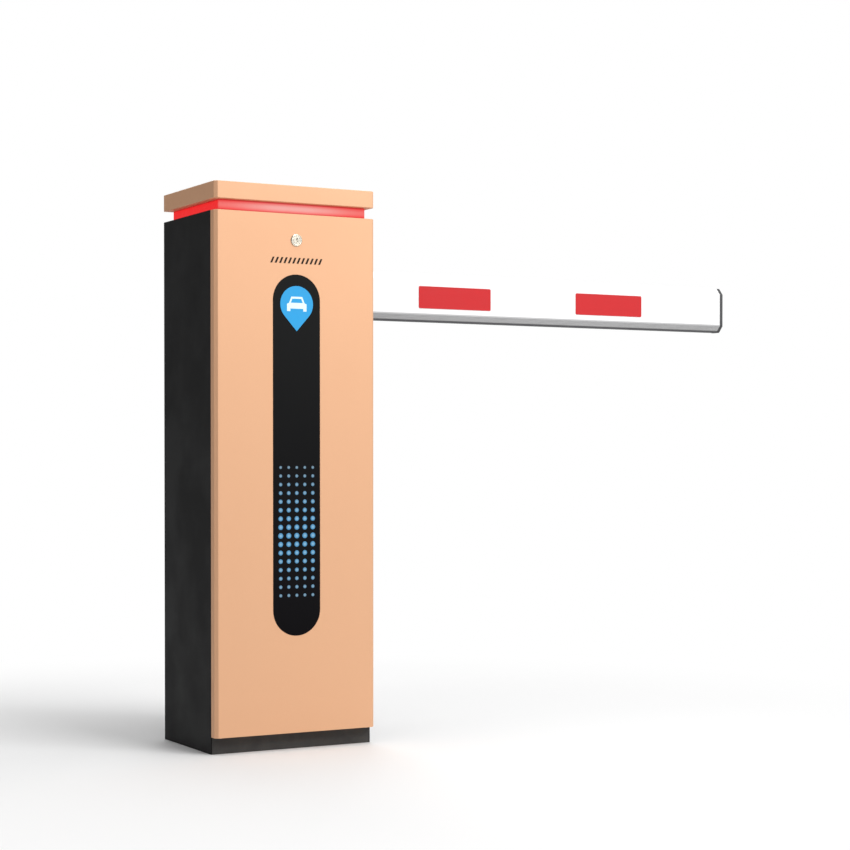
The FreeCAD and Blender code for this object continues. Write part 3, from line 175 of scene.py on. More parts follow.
def add_group(name, inputs, outputs):
    """Empty shader node group with named sockets."""
    group = bpy.data.node_groups.new(name, "ShaderNodeTree")
    for label, kind, value in inputs:
        socket = group.interface.new_socket(label, in_out="INPUT", socket_type=kind)
        if value is not None:
            socket.default_value = value
    for label, kind in outputs:
        group.interface.new_socket(label, in_out="OUTPUT", socket_type=kind)
    return group, group.nodes.new("NodeGroupInput"), group.nodes.new("NodeGroupOutput")


def grain_group():
    """Surface grain: fine noise as a height, and broad noise as a roughness between two limits."""
    group, source, result = add_group(
        "surface_grain",
        [("Vector", "NodeSocketVector", None), ("Grain", "NodeSocketFloat", 900.0),
         ("Patches", "NodeSocketFloat", 9.0), ("Smoothest", "NodeSocketFloat", 0.3),
         ("Roughest", "NodeSocketFloat", 0.5)],
        [("Roughness", "NodeSocketFloat"), ("Height", "NodeSocketFloat"),
         ("Drift", "NodeSocketFloat")])
    links = group.links
    fine = add_node(group.nodes, "ShaderNodeTexNoise", Detail=3)
    broad = add_node(group.nodes, "ShaderNodeTexNoise", Detail=4)
    for noise, scale in ((fine, "Grain"), (broad, "Patches")):
        links.new(source.outputs["Vector"], noise.inputs["Vector"])
        links.new(source.outputs[scale], noise.inputs["Scale"])
    spread = add_node(group.nodes, "ShaderNodeMapRange", From_Min=0.35, From_Max=0.65)
    links.new(broad.outputs["Fac"], spread.inputs["Value"])
    links.new(source.outputs["Smoothest"], spread.inputs["To Min"])
    links.new(source.outputs["Roughest"], spread.inputs["To Max"])
    links.new(spread.outputs["Result"], result.inputs["Roughness"])
    links.new(fine.outputs["Fac"], result.inputs["Height"])
    links.new(broad.outputs["Fac"], result.inputs["Drift"])
    return group


def dust_group():
    """Settled dust as a mask: strongest near the ground, broken up by noise."""
    group, source, result = add_group(
        "settled_dust",
        [("Vector", "NodeSocketVector", None), ("Reach", "NodeSocketFloat", 0.2),
         ("Amount", "NodeSocketFloat", 0.3)],
        [("Mask", "NodeSocketFloat")])
    links = group.links
    split = group.nodes.new("ShaderNodeSeparateXYZ")
    rise = add_node(group.nodes, "ShaderNodeMapRange", To_Min=1.0, To_Max=0.0)
    noise = add_node(group.nodes, "ShaderNodeTexNoise", Scale=38, Detail=6)
    both = add_node(group.nodes, "ShaderNodeMath", operation="MULTIPLY")
    scaled = add_node(group.nodes, "ShaderNodeMath", operation="MULTIPLY")
    links.new(source.outputs["Vector"], split.inputs["Vector"])
    links.new(split.outputs["Z"], rise.inputs["Value"])
    links.new(source.outputs["Reach"], rise.inputs["From Max"])
    links.new(source.outputs["Vector"], noise.inputs["Vector"])
    links.new(rise.outputs["Result"], both.inputs[0])
    links.new(noise.outputs["Fac"], both.inputs[1])
    links.new(both.outputs["Value"], scaled.inputs[0])
    links.new(source.outputs["Amount"], scaled.inputs[1])
    links.new(scaled.outputs["Value"], result.inputs["Mask"])
    return group


def edge_group():
    """Rubbed edges as a mask: where a rounded normal leaves the true one, broken up by noise."""
    group, source, result = add_group(
        "rubbed_edges",
        [("Vector", "NodeSocketVector", None), ("Width", "NodeSocketFloat", 0.001),
         ("Amount", "NodeSocketFloat", 0.5)],
        [("Mask", "NodeSocketFloat")])
    links = group.links
    rounded = add_node(group.nodes, "ShaderNodeBevel", samples=4)
    true = group.nodes.new("ShaderNodeNewGeometry")
    apart = add_node(group.nodes, "ShaderNodeVectorMath", operation="DISTANCE")
    noise = add_node(group.nodes, "ShaderNodeTexNoise", Scale=120, Detail=4)
    picked = add_node(group.nodes, "ShaderNodeMapRange", From_Min=0.15, From_Max=0.6)
    worn = add_node(group.nodes, "ShaderNodeMath", operation="MULTIPLY")
    scaled = add_node(group.nodes, "ShaderNodeMath", operation="MULTIPLY", use_clamp=True)
    links.new(source.outputs["Width"], rounded.inputs["Radius"])
    links.new(rounded.outputs["Normal"], apart.inputs[0])
    links.new(true.outputs["Normal"], apart.inputs[1])
    links.new(source.outputs["Vector"], noise.inputs["Vector"])
    links.new(apart.outputs["Value"], picked.inputs["Value"])
    links.new(picked.outputs["Result"], worn.inputs[0])
    links.new(noise.outputs["Fac"], worn.inputs[1])
    links.new(worn.outputs["Value"], scaled.inputs[0])
    links.new(source.outputs["Amount"], scaled.inputs[1])
    links.new(scaled.outputs["Value"], result.inputs["Mask"])
    return group


SURFACE_GRAIN = grain_group()
SETTLED_DUST = dust_group()
RUBBED_EDGES = edge_group()


def place_group(tree_nodes, links, group, coordinates, **values):
    """Put a node group into a material, fed by object coordinates."""
    holder = add_node(tree_nodes, "ShaderNodeGroup", node_tree=group)
    links.new(coordinates.outputs["Object"], holder.inputs["Vector"])
    for label, value in values.items():
        holder.inputs[label].default_value = value
    return holder


def blended(tree_nodes, links, first, second, mask):
    """Mix two colours by a mask; each colour is a socket or three plain numbers."""
    mix = add_node(tree_nodes, "ShaderNodeMix", data_type="RGBA")
    for label, colour in (("A", first), ("B", second)):
        socket = [item for item in mix.inputs if item.name == label and item.type == "RGBA"][0]
        if isinstance(colour, tuple):
            socket.default_value = (*colour, 1)
        else:
            links.new(colour, socket)
    links.new(mask, mix.inputs["Factor"])
    return [item for item in mix.outputs if item.type == "RGBA"][0]


def finish(name, colour, shade, smooth, rough, grain=900.0, bump=0.05, metal=0.0,
           patches=9.0, dust=0.0, wear=0.0, worn=(0.3, 0.3, 0.3), wear_width=0.0012, shine=0.5):
    """Paint, metal, plastic or rubber that drifts between two shades, with grain, dust and wear."""
    material, tree_nodes, links, shader = shader_tree(name)
    coordinates = tree_nodes.new("ShaderNodeTexCoord")
    surface = place_group(tree_nodes, links, SURFACE_GRAIN, coordinates, Grain=grain,
                          Patches=patches, Smoothest=smooth, Roughest=rough)
    links.new(surface.outputs["Roughness"], shader.inputs["Roughness"])
    paint = blended(tree_nodes, links, colour, shade, surface.outputs["Drift"])
    if wear:
        edges = place_group(tree_nodes, links, RUBBED_EDGES, coordinates, Width=wear_width,
                            Amount=wear)
        paint = blended(tree_nodes, links, paint, worn, edges.outputs["Mask"])
    if dust:
        settled = place_group(tree_nodes, links, SETTLED_DUST, coordinates, Amount=dust)
        paint = blended(tree_nodes, links, paint, (0.42, 0.39, 0.34), settled.outputs["Mask"])
    links.new(paint, shader.inputs["Base Color"])
    relief = add_node(tree_nodes, "ShaderNodeBump", Strength=bump, Distance=0.0004)
    links.new(surface.outputs["Height"], relief.inputs["Height"])
    links.new(relief.outputs["Normal"], shader.inputs["Normal"])
    shader.inputs["Metallic"].default_value = metal
    shader.inputs["Specular IOR Level"].default_value = shine
    return material


def hang(piece, body, slot, *replaced):
    """Hang a finished piece on its body and hide the CAD nodes that it stands for."""
    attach(piece, body)
    if replaced:
        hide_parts(*replaced)
    return piece


def new_object(name, mesh):
    piece = bpy.data.objects.new(name, mesh)
    bpy.context.scene.collection.objects.link(piece)
    return piece


def shade_by_angle(mesh, degrees=34):
    for face in mesh.polygons:
        face.use_smooth = True
    mesh.set_sharp_from_angle(angle=math.radians(degrees))


def make_real(piece):
    """Turn an object with modifiers into a plain mesh object."""
    shown = piece.evaluated_get(bpy.context.evaluated_depsgraph_get())
    mesh = bpy.data.meshes.new_from_object(shown)
    piece.modifiers.clear()
    piece.data = mesh
    mesh.name = piece.name
    return piece


def round_edges(piece, radius, segments=2):
    """Round every edge sharper than 32 degrees and keep the flat faces flat in their shading."""
    for face in piece.data.polygons:
        face.use_smooth = True
    rounding = piece.modifiers.new("rounding", "BEVEL")
    rounding.width = radius
    rounding.segments = segments
    rounding.limit_method = "ANGLE"
    rounding.angle_limit = math.radians(32)
    rounding.use_clamp_overlap = True
    shading = piece.modifiers.new("shading", "WEIGHTED_NORMAL")
    shading.weight = 100
    return make_real(piece)


def softened(node, material, radius, segments=2):
    """Copy of a CAD piece, merged to clean faces, with its sharp edges rounded."""
    mesh = nodes[node].data.copy()
    shape = bmesh.new()
    shape.from_mesh(mesh)
    bmesh.ops.remove_doubles(shape, verts=shape.verts, dist=2e-6)
    bmesh.ops.dissolve_limit(shape, angle_limit=math.radians(0.6), verts=shape.verts,
                             edges=shape.edges)
    shape.to_mesh(mesh)
    shape.free()
    mesh.materials.clear()
    mesh.materials.append(material)
    piece = round_edges(new_object(f"{node}_finished", mesh), radius, segments)
    return hang(piece, body_of[node], slot_of[node], node)


def painted(node, material):
    """Keep a CAD piece as it is and give it its finish."""
    nodes[node].data.materials.clear()
    nodes[node].data.materials.append(material)


black_coat = finish("black_powder_coat", (0.0082, 0.0082, 0.0088), (0.0098, 0.0098, 0.0102),
                    0.46, 0.6, grain=1500, bump=0.2, dust=0.005, wear=0.25,
                    worn=(0.04, 0.04, 0.04), wear_width=0.0008, shine=0.1)
plinth_coat = finish("plinth_coat", (0.034, 0.033, 0.034), (0.042, 0.041, 0.041), 0.5, 0.66,
                     grain=1500, bump=0.2, dust=0.12, shine=0.15)
for panel in ("left_side_panel", "right_side_panel", "rear_panel", "door_surround", "top_plate"):
    softened(panel, black_coat, 0.0006)
softened("plinth_panel", plinth_coat, 0.0006)


def turned(profile, along="Y", centre=(0, 0), sides=24, closed=False):
    """Turned part as a bmesh. A row of the profile is (radius, level), or (radius, level, flats)
    for a hexagon or square measured over its flats; closed joins the last row to the first."""
    shape = bmesh.new()
    rows = []
    for radius, level, *flats in profile:
        row = []
        for step in range(sides if radius else 1):
            angle = 2 * math.pi * step / sides
            reach = radius
            if flats:
                part = 2 * math.pi / flats[0]
                reach = radius / math.cos(angle % part - part / 2)
            first = centre[0] + reach * math.cos(angle)
            second = centre[1] + reach * math.sin(angle)
            place = {"X": (level, first, second), "Y": (first, level, second),
                     "Z": (first, second, level)}[along]
            row.append(shape.verts.new(place))
        rows.append(row)
    joints = list(zip(rows, rows[1:])) + ([(rows[-1], rows[0])] if closed else [])
    for low, high in joints:
        for step in range(sides):
            following = (step + 1) % sides
            corners = [low[step % len(low)], low[following % len(low)],
                       high[following % len(high)], high[step % len(high)]]
            corners = list(dict.fromkeys(corners))
            if len(corners) > 2:
                shape.faces.new(corners)
    bmesh.ops.recalc_face_normals(shape, faces=shape.faces)
    return shape


def mesh_of(name, *shapes):
    """One mesh from one or more bmesh shapes, which are used up."""
    whole = bmesh.new()
    for shape in shapes:
        part = bpy.data.meshes.new("part")
        shape.to_mesh(part)
        shape.free()
        whole.from_mesh(part)
        bpy.data.meshes.remove(part)
    mesh = bpy.data.meshes.new(name)
    whole.to_mesh(mesh)
    whole.free()
    return mesh


def made(name, material, node, *shapes, radius=0.0, smooth=34):
    """Finished piece from shapes, on the body of the CAD node that it stands for."""
    mesh = mesh_of(name, *shapes)
    mesh.materials.append(material)
    piece = new_object(name, mesh)
    if radius:
        round_edges(piece, radius)
    else:
        shade_by_angle(piece.data, smooth)
    return hang(piece, body_of[node], slot_of[node], node)


def copies_tree():
    """Geometry nodes: a copy of one piece on every point, turned at random, as real faces."""
    tree = bpy.data.node_groups.new("placed_copies", "GeometryNodeTree")
    for label, kind in (("Places", "NodeSocketGeometry"), ("Piece", "NodeSocketObject"),
                        ("Finish", "NodeSocketMaterial"), ("Most Turn", "NodeSocketVector"),
                        ("Seed", "NodeSocketInt")):
        tree.interface.new_socket(label, in_out="INPUT", socket_type=kind)
    tree.interface.new_socket("Copies", in_out="OUTPUT", socket_type="NodeSocketGeometry")
    source = tree.nodes.new("NodeGroupInput")
    result = tree.nodes.new("NodeGroupOutput")
    piece = tree.nodes.new("GeometryNodeObjectInfo")
    least = add_node(tree.nodes, "ShaderNodeVectorMath", operation="SCALE", Scale=-1)
    turn = add_node(tree.nodes, "FunctionNodeRandomValue", data_type="FLOAT_VECTOR")
    size = add_node(tree.nodes, "GeometryNodeInputNamedAttribute", data_type="FLOAT", Name="size")
    placed = tree.nodes.new("GeometryNodeInstanceOnPoints")
    real = tree.nodes.new("GeometryNodeRealizeInstances")
    finished = tree.nodes.new("GeometryNodeSetMaterial")
    links = tree.links
    links.new(source.outputs["Piece"], piece.inputs["Object"])
    links.new(source.outputs["Most Turn"], least.inputs[0])
    links.new(least.outputs["Vector"], turn.inputs[0])
    links.new(source.outputs["Most Turn"], turn.inputs[1])
    links.new(source.outputs["Seed"], turn.inputs["Seed"])
    links.new(source.outputs["Places"], placed.inputs["Points"])
    links.new(piece.outputs["Geometry"], placed.inputs["Instance"])
    links.new(turn.outputs[0], placed.inputs["Rotation"])
    links.new(size.outputs["Attribute"], placed.inputs["Scale"])
    links.new(placed.outputs["Instances"], real.inputs["Geometry"])
    links.new(real.outputs["Geometry"], finished.inputs["Geometry"])
    links.new(source.outputs["Finish"], finished.inputs["Material"])
    links.new(finished.outputs["Geometry"], result.inputs["Copies"])
    return tree


PLACED_COPIES = copies_tree()


def grown(holder, tree, **values):
    """Run a geometry node tree on an object with its named inputs set, and keep the result."""
    growth = holder.modifiers.new("growth", "NODES")
    growth.node_group = tree
    for item in tree.interface.items_tree:
        label = item.name.replace(" ", "_")
        if item.in_out == "INPUT" and label in values:
            growth[item.identifier] = values[label]
    return make_real(holder)


def copies(name, shape, places, material, body, slot, *replaced, turn=(0, 0, 0), sizes=None,
           seed=7, smooth=34):
    """Copies of one shape at a list of places, as one piece."""
    mesh = bpy.data.meshes.new(name)
    mesh.from_pydata([tuple(place) for place in places], [], [])
    size = mesh.attributes.new("size", "FLOAT", "POINT")
    size.data.foreach_set("value", sizes or [1.0] * len(places))
    original = new_object("original", mesh_of("original", shape))
    holder = grown(new_object(name, mesh), PLACED_COPIES, Piece=original, Finish=material,
                   Most_Turn=turn, Seed=seed)
    bpy.data.objects.remove(original)
    shade_by_angle(holder.data, smooth)
    return hang(holder, body, slot, *replaced)


rear_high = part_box("rear_panel")[1]
rivet_head = turned([(0, 0.0013), (0.0013, 0.0012), (0.0026, 0.0008), (0.0034, 0.0),
                     (0.0034, -0.0005), (0, -0.0005)], sides=12)
rivet_lowest = 0.045
rivet_pitch = 0.0865
rivet_inset = 0.009
rivet_levels = [rivet_lowest + rivet_pitch * step for step in range(11)]
copies("rear_rivets", rivet_head,
       [(side * (rear_high.x - rivet_inset), rear_high.y, level)
        for side in (-1, 1) for level in rivet_levels],
       black_coat, "cabinet", "black_paint", turn=(0, 3.1, 0))


# ---------------------------------------------------------------------------------- base plate
# Laser-cut steel plate, hot-dip galvanised, that stands on the ground bolts. The cabinet is
# welded round it, and the cables come up through the round hole in its middle.
def zinc_finish(name, colour, shade, scale, smooth, rough):
    """Zinc whose crystals differ a little in shade and in shine."""
    material, tree_nodes, links, shader = shader_tree(name)
    coordinates = tree_nodes.new("ShaderNodeTexCoord")
    surface = place_group(tree_nodes, links, SURFACE_GRAIN, coordinates, Grain=700.0,
                          Patches=14.0, Smoothest=smooth, Roughest=rough)
    crystals = add_node(tree_nodes, "ShaderNodeTexVoronoi", Scale=scale)
    links.new(coordinates.outputs["Object"], crystals.inputs["Vector"])
    grey = tree_nodes.new("ShaderNodeRGBToBW")
    links.new(crystals.outputs["Color"], grey.inputs["Color"])
    both = add_node(tree_nodes, "ShaderNodeMath", operation="MULTIPLY")
    links.new(grey.outputs["Val"], both.inputs[0])
    links.new(surface.outputs["Drift"], both.inputs[1])
    links.new(blended(tree_nodes, links, colour, shade, both.outputs["Value"]),
              shader.inputs["Base Color"])
    links.new(surface.outputs["Roughness"], shader.inputs["Roughness"])
    relief = add_node(tree_nodes, "ShaderNodeBump", Strength=0.06, Distance=0.0003)
    links.new(surface.outputs["Height"], relief.inputs["Height"])
    links.new(relief.outputs["Normal"], shader.inputs["Normal"])
    shader.inputs["Metallic"].default_value = 1.0
    return material


galvanised = zinc_finish("galvanised_steel", (0.42, 0.43, 0.44), (0.62, 0.63, 0.64), 95, 0.34, 0.52)
softened("base_plate", galvanised, 0.0006)


# ---------------------------------------------------------------------------------- machine plate
# Thick zinc-plated plate that carries the whole drive, held off the rear panel by six round
# spacers, with a screw into each from the front.
zinc_plate = zinc_finish("zinc_plated_steel", (0.5, 0.5, 0.49), (0.68, 0.68, 0.66), 30, 0.28, 0.44)
softened("machine_plate", zinc_plate, 0.0008)
softened("plate_spacers", zinc_plate, 0.0006)
plate_low, plate_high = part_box("machine_plate")
spacer_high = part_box("plate_spacers")[1]
spacer_radius = 0.007
spacer_levels = [share * plate_high.z for share in (0.1, 0.5, 0.95)]
cross_screw = turned([(0, -0.0006), (0.0016, -0.0006, 4), (0.0016, -0.0024, 4), (0.0052, -0.0024),
                      (0.006, -0.0016), (0.006, 0.0004), (0, 0.0004)], sides=24)
copies("spacer_screws", cross_screw,
       [(side * (spacer_high.x - spacer_radius), plate_low.y, level)
        for side in (-1, 1) for level in spacer_levels],
       zinc_plate, "cabinet", "zinc_steel", turn=(0, 3.1, 0))


# ---------------------------------------------------------------------------------- main bearing
# Cast cartridge, machined on its flange, with a sealed ball bearing at each end, four socket
# head screws into the machine plate and a rubber lip seal where the shaft leaves the cabinet.
cast_iron = finish("cast_iron", (0.2, 0.21, 0.22), (0.27, 0.28, 0.29), 0.42, 0.62, grain=420,
                   bump=0.5, metal=0.75, patches=24, wear=0.8, worn=(0.6, 0.6, 0.6))
bearing_steel = finish("ground_steel", (0.56, 0.57, 0.58), (0.66, 0.66, 0.67), 0.12, 0.24,
                       grain=2200, bump=0.03, metal=1.0, patches=30)
rubber = finish("black_rubber", (0.012, 0.012, 0.012), (0.02, 0.02, 0.02), 0.6, 0.8, grain=1200,
                bump=0.3, patches=20)
softened("bearing_housing", cast_iron, 0.0012)


def ball_bearing(front, wide):
    """Closed ring with its seals set back between the inner and the outer race."""
    back = front + wide
    return turned([(0.0176, front + 0.0006), (0.018, front), (0.0212, front),
                   (0.0214, front + 0.0009), (0.0272, front + 0.0009), (0.0274, front),
                   (0.0304, front), (0.031, front + 0.0006), (0.031, back - 0.0006),
                   (0.0304, back), (0.0274, back), (0.0272, back - 0.0009),
                   (0.0214, back - 0.0009), (0.0212, back), (0.018, back),
                   (0.0176, back - 0.0006)], centre=shaft_centre, sides=48, closed=True)


shaft_low, shaft_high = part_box("main_shaft")
shaft_centre = (0, (shaft_low.z + shaft_high.z) / 2)
bearings_low, bearings_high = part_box("shaft_bearings")
bearing_wide = 0.014
made("shaft_bearings_sealed", bearing_steel, "shaft_bearings",
     ball_bearing(bearings_low.y, bearing_wide),
     ball_bearing(bearings_high.y - bearing_wide, bearing_wide))
housing_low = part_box("bearing_housing")[0]
screw_span = 0.0325
socket_screw = turned([(0, -0.0025), (0.0028, -0.0025, 6), (0.0028, -0.005, 6), (0.0058, -0.005),
                       (0.0065, -0.0043), (0.0065, 0.0), (0.004, 0.0), (0.004, 0.021),
                       (0.0034, 0.022), (0, 0.022)])
copies("housing_socket_screws", socket_screw,
       [(x * screw_span, housing_low.y, shaft_centre[1] + z * screw_span)
        for x in (-1, 1) for z in (-1, 1)],
       bearing_steel, "cabinet", "zinc_steel", "housing_bolts", turn=(0, 3.1, 0))
seal_low, seal_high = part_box("shaft_seal")
made("shaft_lip_seal", rubber, "shaft_seal",
     turned([(0.0176, seal_low.y), (0.0176, seal_high.y - 0.0012), (0.0186, seal_high.y - 0.0004),
             (0.0202, seal_high.y - 0.0016), (0.0226, seal_high.y - 0.0016), (0.0236, seal_high.y),
             (0.0257, seal_high.y), (0.0265, seal_high.y - 0.0008), (0.0265, seal_low.y)],
            centre=shaft_centre, sides=48, closed=True))


# ---------------------------------------------------------------------------------- main shaft
# Turned steel shaft with the boom's square flange and hub welded on its outer end. The flange
# takes four through bolts.
shaft_steel = finish("turned_steel", (0.5, 0.51, 0.52), (0.62, 0.62, 0.63), 0.2, 0.34, grain=1600,
                     bump=0.08, metal=1.0, patches=40)
softened("main_shaft", shaft_steel, 0.001)


# ---------------------------------------------------------------------------------- gearbox
# Worm gearbox in a cast housing, its cover held by six screws. The bronze wheel inside turns
# the output shaft, which carries the crank.
softened("gearbox_housing", cast_iron, 0.0028, segments=3)
softened("gearbox_cover", cast_iron, 0.0016)
cover_low, cover_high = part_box("gearbox_cover")
cover_edge = 0.0055
cover_columns = (cover_low.x + cover_edge, cover_high.x - cover_edge)
cover_rows = (cover_low.z + cover_edge, (cover_low.z + cover_high.z) / 2, cover_high.z - cover_edge)
cover_screw = turned([(0, -0.0004), (0.0013, -0.0004, 6), (0.0013, -0.0014, 6), (0.0032, -0.0014),
                      (0.0038, -0.0006), (0.0038, 0.0004), (0, 0.0004)])
copies("gearbox_cover_screws", cover_screw,
       [(x, cover_low.y, z) for x in cover_columns for z in cover_rows],
       bearing_steel, "cabinet", "zinc_steel", turn=(0, 3.1, 0))
output_low, output_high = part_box("output_shaft")
output_centre = (0, (output_low.z + output_high.z) / 2)
output_radius = output_high.x
made("output_shaft_turned", shaft_steel, "output_shaft",
     turned([(0, output_low.y + 0.004), (0.0022, output_low.y + 0.0012),
             (0.0038, output_low.y), (output_radius - 0.001, output_low.y),
             (output_radius, output_low.y + 0.001), (output_radius, output_high.y - 0.001),
             (output_radius - 0.001, output_high.y), (0, output_high.y)],
            centre=output_centre, sides=40))
bronze = finish("bronze", (0.52, 0.3, 0.1), (0.6, 0.38, 0.16), 0.24, 0.42, grain=900, bump=0.1,
                metal=1.0, patches=40)
painted("worm_wheel", bronze)


# ---------------------------------------------------------------------------------- motor
# Finned aluminium motor in machine-grey enamel, hung under the gearbox. Its shaft runs on
# below to a yellow moulded handwheel for lifting the boom by hand in a power cut.
motor_enamel = finish("motor_enamel", (0.1, 0.12, 0.135), (0.125, 0.145, 0.16), 0.3, 0.46,
                      grain=700, bump=0.3, patches=18, wear=0.5, worn=(0.45, 0.46, 0.47))
softened("motor_housing", motor_enamel, 0.0005)
painted("worm_shaft", shaft_steel)
yellow_plastic = finish("yellow_plastic", (0.82, 0.5, 0.02), (0.7, 0.42, 0.02), 0.34, 0.5,
                        grain=1100, bump=0.14, patches=26)
softened("handwheel", yellow_plastic, 0.0018, segments=3)
motor_low, motor_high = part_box("motor_housing")
motor_middle = ((motor_low.x + motor_high.x) / 2, (motor_low.y + motor_high.y) / 2)
end_screw_ring = 0.021
end_screw = turned([(0, -0.0005), (0.0011, -0.0005, 6), (0.0011, -0.0016, 6), (0.0026, -0.0016),
                    (0.003, -0.001), (0.003, 0.0004), (0, 0.0004)], along="Z", sides=12)
copies("motor_end_screws", end_screw,
       [(motor_middle[0] + end_screw_ring * math.cos(math.pi * (2 * step + 1) / 4),
         motor_middle[1] + end_screw_ring * math.sin(math.pi * (2 * step + 1) / 4),
         motor_low.z) for step in range(4)],
       bearing_steel, "cabinet", "zinc_steel", turn=(0, 0, 3.1))


# ---------------------------------------------------------------------------------- levers
# The shaft lever and the crank are the same flame-cut arm with a pressed pin, zinc plated, and
# the rod between them keeps them parallel. Two rubber buffers catch the crank at both ends of
# its quarter turn.
for lever in ("shaft_lever", "crank_arm", "connecting_rod"):
    softened(lever, zinc_plate, 0.0012)
stops_low, stops_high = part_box("crank_stops")
stop_radius = (stops_high.x - stops_low.x) / 2
stop_x = (stops_low.x + stops_high.x) / 2


def rubber_buffer(level):
    """Barrel-shaped buffer with a moulded ridge and a dished nose."""
    front = stops_low.y
    back = stops_high.y
    return turned([(0, front + 0.0008), (stop_radius * 0.5, front + 0.0003),
                   (stop_radius * 0.82, front), (stop_radius, front + 0.0018),
                   (stop_radius * 0.9, (front + back) / 2), (stop_radius, back - 0.002),
                   (stop_radius, back), (0, back)],
                  centre=(stop_x, level), sides=32)


made("rubber_buffers", rubber, "crank_stops", rubber_buffer(stops_low.z + stop_radius),
     rubber_buffer(stops_high.z - stop_radius), smooth=50)


# ---------------------------------------------------------------------------------- balance gear
# The weight of the boom is carried by a coil spring. A six-strand wire rope runs from the
# grooved cast quadrant on the main shaft to a steel hook on top of the spring, and the
# spring's foot is bolted to the base plate.
softened("quadrant", cast_iron, 0.0008)
softened("spring_hook", zinc_plate, 0.0022, segments=3)
softened("spring_anchor", zinc_plate, 0.0008)
rope_low, rope_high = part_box("balance_rope")
rope_line = ((rope_low.x + rope_high.x) / 2, (rope_low.y + rope_high.y) / 2)
rope_radius = (rope_high.x - rope_low.x) / 2


def rope_strand(lay, strand_radius, turn, step_length=0.003, pitch=0.024, sides=7):
    """One strand as a closed tube, wound round the rope's line."""
    shape = bmesh.new()
    count = round((rope_high.z - rope_low.z) / step_length)
    rows = []
    for number in range(count + 1):
        level = rope_low.z + (rope_high.z - rope_low.z) * number / count
        angle = turn + 2 * math.pi * (level - rope_low.z) / pitch
        middle = Vector((rope_line[0] + lay * math.cos(angle),
                         rope_line[1] + lay * math.sin(angle), level))
        rows.append([shape.verts.new(middle + Vector((
            strand_radius * math.cos(2 * math.pi * side / sides),
            strand_radius * math.sin(2 * math.pi * side / sides), 0)))
            for side in range(sides)])
    for low, high in zip(rows, rows[1:]):
        for side in range(sides):
            following = (side + 1) % sides
            shape.faces.new((low[side], low[following], high[following], high[side]))
    shape.faces.new(rows[0])
    shape.faces.new(rows[-1])
    bmesh.ops.recalc_face_normals(shape, faces=shape.faces)
    return shape


strand_radius = rope_radius / 3
strands = [rope_strand(rope_radius - strand_radius, strand_radius, math.pi * step / 3)
           for step in range(6)] + [rope_strand(0, strand_radius, 0)]
rope_mesh = mesh_of("wire_rope", *strands)
rope_mesh.materials.append(bearing_steel)
shade_by_angle(rope_mesh, 50)
wire_rope = new_object("wire_rope", rope_mesh)
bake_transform(wire_rope)
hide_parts("balance_rope")


def coil_tree():
    """Geometry nodes: a round wire wound into a straight coil."""
    tree = bpy.data.node_groups.new("wound_coil", "GeometryNodeTree")
    for label, kind in (("Turns", "NodeSocketFloat"), ("Coil Radius", "NodeSocketFloat"),
                        ("Wire Radius", "NodeSocketFloat"), ("Height", "NodeSocketFloat"),
                        ("Place", "NodeSocketVector"), ("Finish", "NodeSocketMaterial")):
        tree.interface.new_socket(label, in_out="INPUT", socket_type=kind)
    tree.interface.new_socket("Coil", in_out="OUTPUT", socket_type="NodeSocketGeometry")
    source = tree.nodes.new("NodeGroupInput")
    result = tree.nodes.new("NodeGroupOutput")
    spiral = add_node(tree.nodes, "GeometryNodeCurveSpiral", Resolution=22)
    wire = add_node(tree.nodes, "GeometryNodeCurvePrimitiveCircle", Resolution=9)
    swept = tree.nodes.new("GeometryNodeCurveToMesh")
    swept.inputs["Fill Caps"].default_value = True
    moved = tree.nodes.new("GeometryNodeTransform")
    real = tree.nodes.new("GeometryNodeRealizeInstances")
    finished = tree.nodes.new("GeometryNodeSetMaterial")
    links = tree.links
    links.new(source.outputs["Turns"], spiral.inputs["Rotations"])
    links.new(source.outputs["Coil Radius"], spiral.inputs["Start Radius"])
    links.new(source.outputs["Coil Radius"], spiral.inputs["End Radius"])
    links.new(source.outputs["Height"], spiral.inputs["Height"])
    links.new(source.outputs["Wire Radius"], wire.inputs["Radius"])
    links.new(spiral.outputs["Curve"], swept.inputs["Curve"])
    links.new(wire.outputs["Curve"], swept.inputs["Profile Curve"])
    links.new(swept.outputs["Mesh"], moved.inputs["Geometry"])
    links.new(source.outputs["Place"], moved.inputs["Translation"])
    links.new(moved.outputs["Geometry"], real.inputs["Geometry"])
    links.new(real.outputs["Geometry"], finished.inputs["Geometry"])
    links.new(source.outputs["Finish"], finished.inputs["Material"])
    links.new(finished.outputs["Geometry"], result.inputs["Coil"])
    return tree


spring_steel = finish("oiled_spring_steel", (0.07, 0.075, 0.085), (0.12, 0.12, 0.125), 0.22, 0.4,
                      grain=900, bump=0.12, metal=0.9, patches=26)
spring_low, spring_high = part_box("balance_spring")
wire_radius = 0.0025
spring_radius = (spring_high.x - spring_low.x) / 2 - wire_radius
spring_mesh = bpy.data.meshes.new("coil_spring")
coil_spring = grown(
    new_object("coil_spring", spring_mesh), coil_tree(), Turns=76.0, Coil_Radius=spring_radius,
    Wire_Radius=wire_radius, Height=spring_high.z - spring_low.z - 2 * wire_radius,
    Place=(rope_line[0], rope_line[1], spring_low.z + wire_radius), Finish=spring_steel)
shade_by_angle(coil_spring.data, 60)
hang(coil_spring, "cabinet", "spring_steel", "balance_spring")
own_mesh(coil_spring)
anchor_low, anchor_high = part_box("spring_anchor")
foot_bolt = turned([(0, 0.0042), (0.0032, 0.0042), (0.0036, 0.0038, 6), (0.0036, 0.0, 6), (0, 0.0)],
                   along="Z", sides=12)
foot_top = anchor_low.z + 0.006
foot_edge = 0.0055
